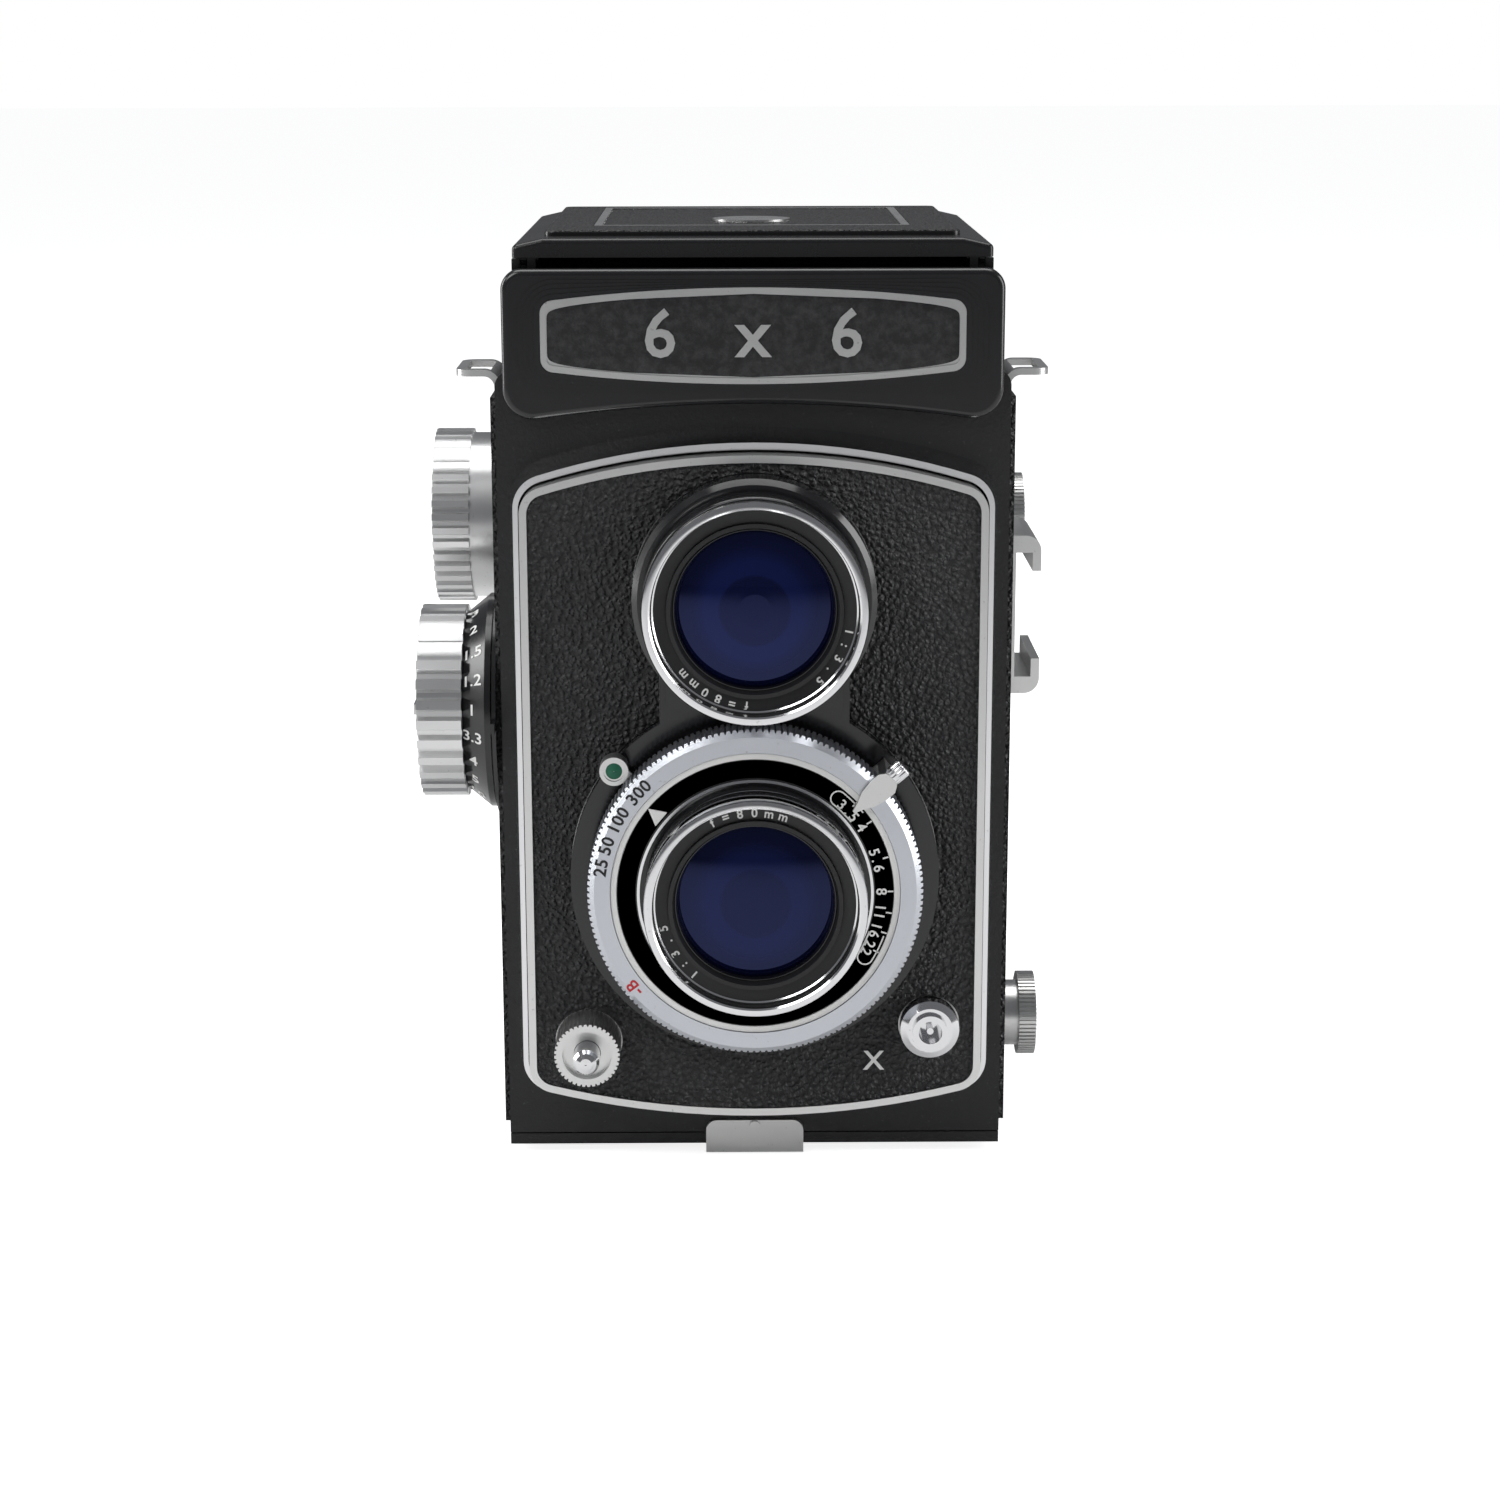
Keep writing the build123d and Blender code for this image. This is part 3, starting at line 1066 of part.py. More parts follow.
def sync_socket():
    """Coaxial flash socket: sleeve and centre contact."""
    face = BOARD_FACE - SOCKET_STAND
    centre = SYNC_AT
    socket = turned_y(centre, [(1.75, BOARD_SEAT), (SOCKET_RADIUS, BOARD_SEAT),
                               (SOCKET_RADIUS, face + 1.6), (SOCKET_RADIUS - 1.0, face + 1.0),
                               (2.6, face + 1.0), (2.6, face), (1.75, face)])
    floor = rod("y", centre, 1.75, (face + 3.4, BOARD_SEAT))
    return socket + floor + rod("y", centre, 0.5, (face + 0.8, face + 3.5))


def lens_barrel(height, rim_y, seat_y):
    """Turned mount with a push-on rim in front and a tube through the board."""
    r = BARREL_RADIUS - RUN
    bore = GLASS_RADIUS + 0.05
    return turned_y((0, height), [
        (bore, BOARD_SEAT + BOARD_PLATE), (r, BOARD_SEAT + BOARD_PLATE), (r, seat_y),
        (RIM_RADIUS - 0.3, seat_y), (RIM_RADIUS - 0.3, seat_y - 1.0),
        (RIM_RADIUS - 0.9, seat_y - 1.2), (RIM_RADIUS - 0.9, seat_y - 2.0),
        (RIM_RADIUS, seat_y - 2.2), (RIM_RADIUS, rim_y + 0.3), (RIM_RADIUS - 0.3, rim_y),
        (RIM_BORE + 0.2, rim_y), (RIM_BORE, rim_y + 0.2), (RIM_BORE, rim_y + 2.6),
        (bore + 1.1, rim_y + 4.2), (bore, rim_y + 4.2)])


def lens_glass(height, vertex_y, bulge):
    """Front element: a plano-convex glass of the mount's bore."""
    curve = (GLASS_RADIUS ** 2 + bulge ** 2) / (2 * bulge)
    ball = Pos(0, vertex_y + curve, height) * Sphere(curve)
    return ball & rod("y", (0, height), GLASS_RADIUS, (vertex_y - 1, vertex_y + bulge + 1.2))


def blades(count, opening, y_start, width):
    """Thin crescent blades laid round the opening, one behind the other."""
    outer = GLASS_RADIUS
    leaves = []
    for leaf in range(count):
        crescent = Circle(outer) - Pos(-outer + opening * 0.25, 0) * Circle(outer)
        crescent -= Circle(opening)
        crescent = Pos(0, TAKE_Z) * Rot(0, 0, leaf * 360 / count) * crescent
        y = y_start + leaf * (width + 0.05)
        leaves.append(front_plate(crescent, y, width))
    return leaves


def rear_cell(height):
    """Rear element group of a lens, in its short threaded cell."""
    y_front = BOARD_SEAT + BOARD_PLATE
    cell = tube("y", (0, height), BARREL_RADIUS - RUN, 9.0, (y_front, y_front + 4.5))
    return cell + turned_y((0, height), [(0, y_front + 1.0), (9.0, y_front + 1.6),
                                         (9.0, y_front + 3.4), (0, y_front + 4.2)])


# ---- write every piece ---------------------------------------------------------
nodes.update(
    body_casting=body_casting(),
    front_bezel=front_bezel(),
    finder_apron=finder_apron(),
    nameplate=nameplate(),
    side_leather_left=side_leather(-1),
    side_leather_right=side_leather(1),
    case_screws=case_screws(),
    strap_lugs=both_sides(strap_lug()),
    accessory_shoe=accessory_shoe(),
    catch_plate=catch_plate(),
    focus_index_ring=focus_index_ring(),
    spool_bushes=spool_bushes(),
    light_cone=light_cone(),
    film_gate=film_gate(),
    mirror=reflex_mirror(),
    mirror_holder=mirror_holder(),
    focusing_screen=block((-SCREEN_HALF, SCREEN_HALF), SCREEN_Y,
                          (SCREEN_SEAT, SCREEN_SEAT + SCREEN_GLASS)),
    focus_knob=focus_knob(),
    distance_scale=distance_scale(),
    focus_shaft=focus_shaft(),
    focus_cams=focus_cam(-1) + focus_cam(1),
    film_speed_dial=film_speed_dial(),
    wind_knob=wind_knob(),
    wind_shaft=wind_shaft(),
    take_up_spool=take_up_spool(),
    wind_button=wind_button(),
    take_up_side_knob=pull_knob(WIND_YZ),
    supply_side_knob=pull_knob(SUPPLY_YZ),
    film_roller_lower=film_roller(ROLLER_Z[0]),
    film_roller_upper=film_roller(ROLLER_Z[1]),
    hood_base=hood_base(),
    hood_lid=hood_lid(),
    finder_flap=finder_flap(),
    hood_rear_panel=rear_panel(),
    hood_left_panel=side_panel(-1),
    hood_right_panel=side_panel(1),
    magnifier_arm=magnifier_arm(),
    magnifier_lens=magnifier_lens(),
    hinge_pins=hinge_pins(),
    back_door=back_door(),
    door_leather=door_leather(),
    pressure_plate=pressure_plate(),
    lock_dial=lock_dial(),
    tripod_bush=tripod_bush(),
    door_feet=door_feet(),
    lens_board=lens_board(),
    board_trim=board_trim(),
    board_leather=board_leather(),
    shutter_housing=shutter_housing(),
    speed_ring=speed_ring(),
    aperture_scale=aperture_scale(),
    aperture_lever=aperture_lever(),
    cocking_lever=cocking_lever(),
    release_collar=release_collar(),
    release_plunger=release_plunger(),
    sync_socket=sync_socket(),
    viewing_lens_barrel=lens_barrel(VIEW_Z, VIEW_RIM_Y, VIEW_HOUSING_FACE),
    taking_lens_barrel=lens_barrel(TAKE_Z, TAKE_RIM_Y, SCALE_FACE),
    front_elements=lens_glass(VIEW_Z, VIEW_RIM_Y + GLASS_SINK, 1.8)
    + lens_glass(TAKE_Z, TAKE_RIM_Y + GLASS_SINK, 1.2),
    iris_and_rear_cells=Compound(children=[
        *blades(IRIS_BLADES, 4.0, IRIS_Y, 0.15),
        rear_cell(VIEW_Z), rear_cell(TAKE_Z)]),
)

for name, shape in nodes.items():
    export_step(shape, f"parts/{name}.step")
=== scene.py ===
"""Looks of a twin lens reflex camera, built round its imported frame. Lengths are metres."""
import math
import bpy
import numpy as np
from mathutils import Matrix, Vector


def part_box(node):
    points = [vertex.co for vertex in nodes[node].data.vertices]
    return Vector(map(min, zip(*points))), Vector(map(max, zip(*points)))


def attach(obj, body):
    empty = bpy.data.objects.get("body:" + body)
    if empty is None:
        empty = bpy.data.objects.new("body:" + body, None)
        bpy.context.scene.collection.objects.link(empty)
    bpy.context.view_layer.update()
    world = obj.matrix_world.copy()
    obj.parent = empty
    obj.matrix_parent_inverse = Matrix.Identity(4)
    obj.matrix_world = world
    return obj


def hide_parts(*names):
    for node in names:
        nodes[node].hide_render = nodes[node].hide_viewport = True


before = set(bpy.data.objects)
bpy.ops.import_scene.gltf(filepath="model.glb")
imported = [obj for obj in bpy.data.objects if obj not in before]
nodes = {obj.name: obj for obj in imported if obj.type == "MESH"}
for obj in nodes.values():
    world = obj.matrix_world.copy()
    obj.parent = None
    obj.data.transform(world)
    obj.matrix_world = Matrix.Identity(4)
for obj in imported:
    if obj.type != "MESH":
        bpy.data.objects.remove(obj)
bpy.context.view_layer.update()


# ---- places taken from the frame ---------------------------------------------
def low(node):
    """Lowest corner of a node's box."""
    return np.array(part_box(node)[0])


def high(node):
    """Highest corner of a node's box."""
    return np.array(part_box(node)[1])


def middle(node):
    """Centre of a node's box."""
    return (low(node) + high(node)) / 2


VIEW_Z = middle("viewing_lens_barrel")[2]
TAKE_Z = middle("taking_lens_barrel")[2]
VIEW_RIM = low("viewing_lens_barrel")[1]
SPEED_FACE = low("speed_ring")[1]
RIM_RADIUS = (high("taking_lens_barrel") - low("taking_lens_barrel"))[0] / 2
LEATHER_FACE = low("board_leather")[1]
FOCUS = middle("focus_knob")
WIND = middle("wind_knob")


# ---- camera, light and floor ----------------------------------------------------
def camera():
    """A slightly raised view of the front."""
    data = bpy.data.cameras.new("camera")
    data.lens = 72.0
    data.sensor_width = 36.0
    data.shift_y = -0.0113
    data.clip_start = 0.01
    obj = bpy.data.objects.new("camera", data)
    obj.location = (-0.0034, -0.4732, 0.1701)
    obj.rotation_euler = (math.radians(90 - 13.3), math.radians(0.13), math.radians(-0.4))
    bpy.context.scene.collection.objects.link(obj)
    bpy.context.scene.camera = obj


def softbox(name, place, aim, size, power):
    """Rectangular area light at place that faces aim."""
    data = bpy.data.lights.new(name, "AREA")
    data.shape = "RECTANGLE"
    data.size, data.size_y = size
    data.energy = power
    obj = bpy.data.objects.new(name, data)
    spot = np.array(place, float)
    toward = np.array(aim, float) - spot
    yaw = math.atan2(toward[0], toward[1])
    pitch = math.atan2(toward[2], math.hypot(toward[0], toward[1]))
    obj.location = spot
    obj.rotation_euler = (math.pi / 2 + pitch, 0, -yaw)
    bpy.context.scene.collection.objects.link(obj)


def studio():
    """White sweep, white room light and softboxes over and beside the camera."""
    world = bpy.data.worlds.new("room")
    bpy.context.scene.world = world
    world.use_nodes = True
    tree = world.node_tree
    tree.nodes.clear()
    out = tree.nodes.new("ShaderNodeOutputWorld")
    mix = tree.nodes.new("ShaderNodeMixShader")
    rays = tree.nodes.new("ShaderNodeLightPath")
    room = tree.nodes.new("ShaderNodeBackground")
    room.inputs["Color"].default_value = (0.93, 0.95, 1.0, 1)
    room.inputs["Strength"].default_value = 0.16
    seen = tree.nodes.new("ShaderNodeBackground")
    seen.inputs["Color"].default_value = (1, 1, 1, 1)
    seen.inputs["Strength"].default_value = 1.0
    tree.links.new(rays.outputs["Is Camera Ray"], mix.inputs[0])
    tree.links.new(room.outputs[0], mix.inputs[1])
    tree.links.new(seen.outputs[0], mix.inputs[2])
    tree.links.new(mix.outputs[0], out.inputs[0])
    softbox("key_light", (-0.55, -0.55, 0.75), (0, 0, 0.07), (0.5, 0.5), 3.6)
    softbox("side_light", (0.75, -0.20, 0.30), (0, 0, 0.07), (0.35, 0.6), 3.2)
    softbox("top_light", (0.0, 0.10, 0.95), (0, 0, 0.1), (0.8, 0.6), 5.2)
    softbox("left_light", (-0.8, 0.10, 0.30), (0, 0, 0.08), (0.3, 0.6), 3.6)
    mesh = bpy.data.meshes.new("floor")
    half = 6.0
    mesh.from_pydata([(-half, -half, 0), (half, -half, 0), (half, half, 0), (-half, half, 0)],
                     [], [(0, 1, 2, 3)])
    floor = bpy.data.objects.new("floor", mesh)
    bpy.context.scene.collection.objects.link(floor)
    mesh.materials.append(flat_floor())
    bpy.context.scene.view_settings.view_transform = "Standard"


def flat_floor():
    """Matt white paper, lifted towards pure white where it is seen directly."""
    mat = bpy.data.materials.new("floor_paper")
    mat.use_nodes = True
    tree = mat.node_tree
    shader = tree.nodes["Principled BSDF"]
    shader.inputs["Base Color"].default_value = (0.8, 0.8, 0.8, 1)
    shader.inputs["Roughness"].default_value = 0.9
    shader.inputs["Emission Color"].default_value = (1, 1, 1, 1)
    rays = tree.nodes.new("ShaderNodeLightPath")
    lift = math_node(tree, "MULTIPLY", rays.outputs["Is Camera Ray"], 0.85)
    tree.links.new(lift, shader.inputs["Emission Strength"])
    return mat


# ---- shared finishes as node groups ----------------------------------------------
def new_group(name, inputs, outputs):
    """Empty shader group with its sockets and the two end nodes."""
    group = bpy.data.node_groups.new(name, "ShaderNodeTree")
    for label, kind, value in inputs:
        socket = group.interface.new_socket(label, in_out="INPUT", socket_type=kind)
        if value is not None:
            socket.default_value = value
    for label, kind in outputs:
        group.interface.new_socket(label, in_out="OUTPUT", socket_type=kind)
    start = group.nodes.new("NodeGroupInput")
    end = group.nodes.new("NodeGroupOutput")
    return group, start, end


def math_node(tree, operation, first, second=None, clamp=False):
    """Math node; each operand is a socket or a number."""
    node = tree.nodes.new("ShaderNodeMath")
    node.operation = operation
    node.use_clamp = clamp
    for slot, value in zip(node.inputs, (first, second)):
        if value is None:
            continue
        if isinstance(value, (int, float)):
            slot.default_value = value
        else:
            tree.links.new(value, slot)
    return node.outputs[0]


def noise_node(tree, vector, scale, detail=3.0, roughness=0.5):
    """Three-dimensional noise on a vector socket; scale is a socket or a number."""
    node = tree.nodes.new("ShaderNodeTexNoise")
    tree.links.new(vector, node.inputs["Vector"])
    if isinstance(scale, (int, float)):
        node.inputs["Scale"].default_value = scale
    else:
        tree.links.new(scale, node.inputs["Scale"])
    node.inputs["Detail"].default_value = detail
    node.inputs["Roughness"].default_value = roughness
    return node.outputs["Fac"]


def spread(tree, value, start, end, out_low=0.0, out_high=1.0):
    """Map a value from one range to another, clamped."""
    node = tree.nodes.new("ShaderNodeMapRange")
    tree.links.new(value, node.inputs["Value"])
    for label, number in (("From Min", start), ("From Max", end),
                          ("To Min", out_low), ("To Max", out_high)):
        node.inputs[label].default_value = number
    return node.outputs["Result"]


def pebble_group():
    """Pebbled covering: rounded cells with soft valleys, and finer pores between them."""
    group, start, end = new_group(
        "pebble_grain", [("Vector", "NodeSocketVector", None), ("Scale", "NodeSocketFloat", 900.0)],
        [("Height", "NodeSocketFloat"), ("Crest", "NodeSocketFloat")])
    vector, scale = start.outputs["Vector"], start.outputs["Scale"]
    warp = group.nodes.new("ShaderNodeTexNoise")
    group.links.new(vector, warp.inputs["Vector"])
    group.links.new(scale, warp.inputs["Scale"])
    warp.inputs["Detail"].default_value = 1.0
    amount = math_node(group, "DIVIDE", 0.9, scale)
    shift = group.nodes.new("ShaderNodeVectorMath")
    shift.operation = "SCALE"
    group.links.new(warp.outputs["Color"], shift.inputs[0])
    group.links.new(amount, shift.inputs["Scale"])
    moved = group.nodes.new("ShaderNodeVectorMath")
    moved.operation = "ADD"
    group.links.new(vector, moved.inputs[0])
    group.links.new(shift.outputs[0], moved.inputs[1])
    cells = group.nodes.new("ShaderNodeTexVoronoi")
    cells.feature = "SMOOTH_F1"
    cells.inputs["Smoothness"].default_value = 0.35
    group.links.new(moved.outputs[0], cells.inputs["Vector"])
    group.links.new(scale, cells.inputs["Scale"])
    dome = spread(group, cells.outputs["Distance"], 0.15, 0.75, 1.0, 0.0)
    fine = noise_node(group, vector, math_node(group, "MULTIPLY", scale, 3.2), 2.0)
    wide = noise_node(group, vector, math_node(group, "MULTIPLY", scale, 0.3), 1.0)
    height = math_node(group, "MULTIPLY_ADD", fine, 0.22)
    group.links.new(dome, height.node.inputs[2])
    total = math_node(group, "MULTIPLY_ADD", wide, 0.35)
    group.links.new(height, total.node.inputs[2])
    group.links.new(total, end.inputs["Height"])
    group.links.new(dome, end.inputs["Crest"])
    return group


def smudge_group():
    """Handling marks: a broad cloudy value and fine specks, for roughness."""
    group, start, end = new_group(
        "handling_marks", [("Vector", "NodeSocketVector", None),
                           ("Low", "NodeSocketFloat", 0.2), ("High", "NodeSocketFloat", 0.3)],
        [("Roughness", "NodeSocketFloat"), ("Speck", "NodeSocketFloat")])
    vector = start.outputs["Vector"]
    broad = noise_node(group, vector, 90.0, 4.0, 0.6)
    fine = noise_node(group, vector, 1400.0, 2.0, 0.6)
    both = math_node(group, "MULTIPLY_ADD", fine, 0.35)
    group.links.new(math_node(group, "MULTIPLY", broad, 0.8), both.node.inputs[2])
    span = math_node(group, "SUBTRACT", start.outputs["High"], start.outputs["Low"])
    rough = math_node(group, "MULTIPLY_ADD", both, span)
    group.links.new(start.outputs["Low"], rough.node.inputs[2])
    group.links.new(rough, end.inputs["Roughness"])
    group.links.new(spread(group, fine, 0.68, 0.78), end.inputs["Speck"])
    return group


def lathe_group():
    """Fine turning lines round a centre, from the distance in one plane."""
    group, start, end = new_group(
        "turning_lines", [("Vector", "NodeSocketVector", None),
                          ("Centre", "NodeSocketVector", (0, 0, 0)),
                          ("Plane", "NodeSocketVector", (1, 0, 1)),
                          ("Scale", "NodeSocketFloat", 9000.0)],
        [("Height", "NodeSocketFloat")])
    offset = group.nodes.new("ShaderNodeVectorMath")
    offset.operation = "SUBTRACT"
    group.links.new(start.outputs["Vector"], offset.inputs[0])
    group.links.new(start.outputs["Centre"], offset.inputs[1])
    flat = group.nodes.new("ShaderNodeVectorMath")
    flat.operation = "MULTIPLY"
    group.links.new(offset.outputs[0], flat.inputs[0])
    group.links.new(start.outputs["Plane"], flat.inputs[1])
    length = group.nodes.new("ShaderNodeVectorMath")
    length.operation = "LENGTH"
    group.links.new(flat.outputs[0], length.inputs[0])
    lines = group.nodes.new("ShaderNodeTexNoise")
    lines.noise_dimensions = "1D"
    group.links.new(length.outputs["Value"], lines.inputs["W"])
    group.links.new(start.outputs["Scale"], lines.inputs["Scale"])
    lines.inputs["Detail"].default_value = 3.0
    group.links.new(lines.outputs["Fac"], end.inputs["Height"])
    return group


GRAIN_SCALE = 1350.0          # cells per metre of the pebbled covering
PEBBLE = pebble_group()
SMUDGE = smudge_group()
LATHE = lathe_group()


# ---- materials -------------------------------------------------------------------
class Finish:
    """One material: its Principled shader and helpers that feed it."""

    def __init__(self, name, colour, roughness, metallic=0.0):
        self.mat = bpy.data.materials.new(name)
        self.mat.use_nodes = True
        self.tree = self.mat.node_tree
        self.shader = self.tree.nodes["Principled BSDF"]
        self.shader.inputs["Base Color"].default_value = (*colour, 1)
        self.shader.inputs["Roughness"].default_value = roughness
        self.shader.inputs["Metallic"].default_value = metallic
        coordinates = self.tree.nodes.new("ShaderNodeTexCoord")
        self.vector = coordinates.outputs["Object"]

    def group(self, group, **values):
        """Place a shared group, fed with the piece's own coordinates."""
        node = self.tree.nodes.new("ShaderNodeGroup")
        node.node_tree = group
        self.tree.links.new(self.vector, node.inputs["Vector"])
        for label, value in values.items():
            node.inputs[label].default_value = value
        return node.outputs

    def bump(self, height, distance, strength=1.0):
        """Feed a height to the shader's normal; distance is the relief in metres."""
        node = self.tree.nodes.new("ShaderNodeBump")
        node.inputs["Distance"].default_value = distance
        node.inputs["Strength"].default_value = strength
        self.tree.links.new(height, node.inputs["Height"])
        self.tree.links.new(node.outputs[0], self.shader.inputs["Normal"])

    def roughen(self, low_value, high_value):
        """Cloudy roughness between two values."""
        marks = self.group(SMUDGE, Low=low_value, High=high_value)
        self.tree.links.new(marks["Roughness"], self.shader.inputs["Roughness"])
        return marks

    def tint(self, mask, dark, light):
        """Base colour mixed from dark to light by a mask."""
        mix = self.tree.nodes.new("ShaderNodeMix")
        mix.data_type = "RGBA"
        self.tree.links.new(mask, mix.inputs["Factor"])
        mix.inputs["A"].default_value = (*dark, 1)
        mix.inputs["B"].default_value = (*light, 1)
        self.tree.links.new(mix.outputs["Result"], self.shader.inputs["Base Color"])


def leatherette():
    """Black pebbled covering with slightly shiny crests; its base colour is painted darker in the
    grain's valleys as shade and lighter on the crests as highlight.
    """
    finish = Finish("leatherette", (0.012, 0.012, 0.013), 0.5)
    grain = finish.group(PEBBLE, Scale=GRAIN_SCALE)
    finish.bump(grain["Height"], 0.00042, 1.0)
    # Base colour painted darker in the grain's valleys (painted shade) and lighter on its crests
    # (painted highlight).
    finish.tint(grain["Crest"], (0.003, 0.003, 0.004), (0.024, 0.024, 0.026))
    rough = spread(finish.tree, grain["Crest"], 0.2, 1.0, 0.62, 0.3)
    finish.tree.links.new(rough, finish.shader.inputs["Roughness"])
    finish.shader.inputs["Specular IOR Level"].default_value = 0.55
    return finish.mat


def part_covered(name, level, above, metal):
    """Pebbled covering on one side of a level in Z, bare metal or enamel on the other."""
    finish = Finish(name, (0.01, 0.01, 0.01), 0.4)
    tree = finish.tree
    split = tree.nodes.new("ShaderNodeSeparateXYZ")
    tree.links.new(finish.vector, split.inputs[0])
    bare = math_node(tree, "LESS_THAN" if above else "GREATER_THAN", split.outputs["Z"], level)
    grain = finish.group(PEBBLE, Scale=GRAIN_SCALE)
    marks = finish.group(SMUDGE, Low=0.2, High=0.34)
    colour = (0.72, 0.72, 0.71) if metal else (0.008, 0.008, 0.009)
    finish.tint(bare, (0.016, 0.016, 0.017), colour)
    gloss = tree.nodes.new("ShaderNodeMix")
    tree.links.new(bare, gloss.inputs["Factor"])
    gloss.inputs["A"].default_value = 0.45
    tree.links.new(marks["Roughness"], gloss.inputs["B"])
    tree.links.new(gloss.outputs["Result"], finish.shader.inputs["Roughness"])
    if metal:
        tree.links.new(bare, finish.shader.inputs["Metallic"])
    cover = math_node(tree, "SUBTRACT", 1.0, bare)
    finish.bump(math_node(tree, "MULTIPLY", grain["Height"], cover), 0.0004, 1.0)
    return finish.mat


def crackle():
    """Black wrinkled field with grey mottling."""
    finish = Finish("crackled_field", (0.01, 0.01, 0.01), 0.5)
    cloud = noise_node(finish.tree, finish.vector, 650.0, 5.0, 0.7)
    finish.tint(spread(finish.tree, cloud, 0.42, 0.72), (0.006, 0.006, 0.007), (0.035, 0.035, 0.037))
    finish.bump(cloud, 0.0002, 0.7)
    finish.roughen(0.35, 0.6)
    return finish.mat


def crinkle():
    """Fine black crinkle enamel of the casting."""
    finish = Finish("crinkle_enamel", (0.009, 0.009, 0.010), 0.5)
    height = noise_node(finish.tree, finish.vector, 1500.0, 3.0, 0.6)
    finish.bump(height, 0.00012, 0.8)
    marks = finish.roughen(0.38, 0.6)
    finish.tint(marks["Speck"], (0.008, 0.008, 0.009), (0.03, 0.03, 0.032))
    return finish.mat


def enamel(name, gloss_low, gloss_high, colour=(0.008, 0.008, 0.009)):
    """Smooth black enamel with faint handling marks."""
    finish = Finish(name, colour, gloss_low)
    marks = finish.roughen(gloss_low, gloss_high)
    finish.tint(marks["Speck"], colour, tuple(2.2 * part for part in colour))
    ripple = noise_node(finish.tree, finish.vector, 420.0, 2.0)
    finish.bump(ripple, 0.00002, 0.4)
    finish.shader.inputs["Coat Weight"].default_value = 0.25
    finish.shader.inputs["Coat Roughness"].default_value = 0.12
    return finish.mat


def plated(name, colour, gloss_low, gloss_high, relief=0.000006):
    """Plated metal: cloudy roughness and a very slight ripple."""
    finish = Finish(name, colour, gloss_low, 1.0)
    marks = finish.roughen(gloss_low, gloss_high)
    finish.tint(marks["Speck"], colour, tuple(0.7 * part for part in colour))
    ripple = noise_node(finish.tree, finish.vector, 900.0, 3.0)
    finish.bump(ripple, relief, 0.5)
    return finish.mat


def turned_metal(name, centre, plane, colour, gloss_low, gloss_high, relief=0.00002):
    """Lathe-turned metal with circular lines about a centre."""
    finish = Finish(name, colour, gloss_low, 1.0)
    marks = finish.roughen(gloss_low, gloss_high)
    lines = finish.group(LATHE, Centre=tuple(centre), Plane=plane, Scale=7000.0)
    finish.bump(lines["Height"], relief, 0.6)
    finish.tint(marks["Speck"], colour, tuple(0.75 * part for part in colour))
    return finish.mat


def paint_mark(name, colour):
    """Filled engraving."""
    finish = Finish(name, colour, 0.5)
    marks = finish.roughen(0.4, 0.6)
    finish.tint(marks["Speck"], colour, tuple(0.8 * part for part in colour))
    return finish.mat


def coated_glass(name, centre, radius, deep, ring_reflection_colour):
    """Coated lens: dark blue body with bright rings painted at set radii as reflections of the inner
    glass, darker at the very edge, and a blue-violet tint in its reflections.
    """
    finish = Finish(name, deep, 0.03)
    tree = finish.tree
    offset = tree.nodes.new("ShaderNodeVectorMath")
    offset.operation = "SUBTRACT"
    tree.links.new(finish.vector, offset.inputs[0])
    offset.inputs[1].default_value = tuple(centre)
    flat = tree.nodes.new("ShaderNodeVectorMath")
    flat.operation = "MULTIPLY"
    tree.links.new(offset.outputs[0], flat.inputs[0])
    flat.inputs[1].default_value = (1, 0, 1)
    length = tree.nodes.new("ShaderNodeVectorMath")
    length.operation = "LENGTH"
    tree.links.new(flat.outputs[0], length.inputs[0])
    share = spread(tree, length.outputs["Value"], 0.0, radius)
    ramp = tree.nodes.new("ShaderNodeValToRGB")
    tree.links.new(share, ramp.inputs["Fac"])
    stops = ramp.color_ramp.elements
    stops[0].color = (*deep, 1)
    stops[1].color = (*(0.25 * part for part in deep), 1)
    # Bright bands at set radii are painted reflections of the inner glass surfaces; the outermost
    # band is a fainter copy.
    for place, colour in ((0.42, deep), (0.46, ring_reflection_colour), (0.62, ring_reflection_colour), (0.80, deep),
                          (0.84, tuple(0.45 * part for part in ring_reflection_colour)), (0.93, deep)):
        stop = stops.new(place)
        stop.color = (*colour, 1)
    tree.links.new(ramp.outputs["Color"], finish.shader.inputs["Base Color"])
    finish.shader.inputs["Specular IOR Level"].default_value = 0.6
    finish.shader.inputs["Specular Tint"].default_value = (0.28, 0.36, 1.0, 1)
    finish.shader.inputs["Coat Weight"].default_value = 0.12
    finish.shader.inputs["Coat Roughness"].default_value = 0.02
    finish.shader.inputs["Coat Tint"].default_value = (0.6, 0.65, 1.0, 1)
    return finish.mat


LID_COVER_DROP = 0.0002       # below the lid's top: enamel under this level
FLAP_COVER_DROP = 0.00018     # below the lid's top: bare metal over this level

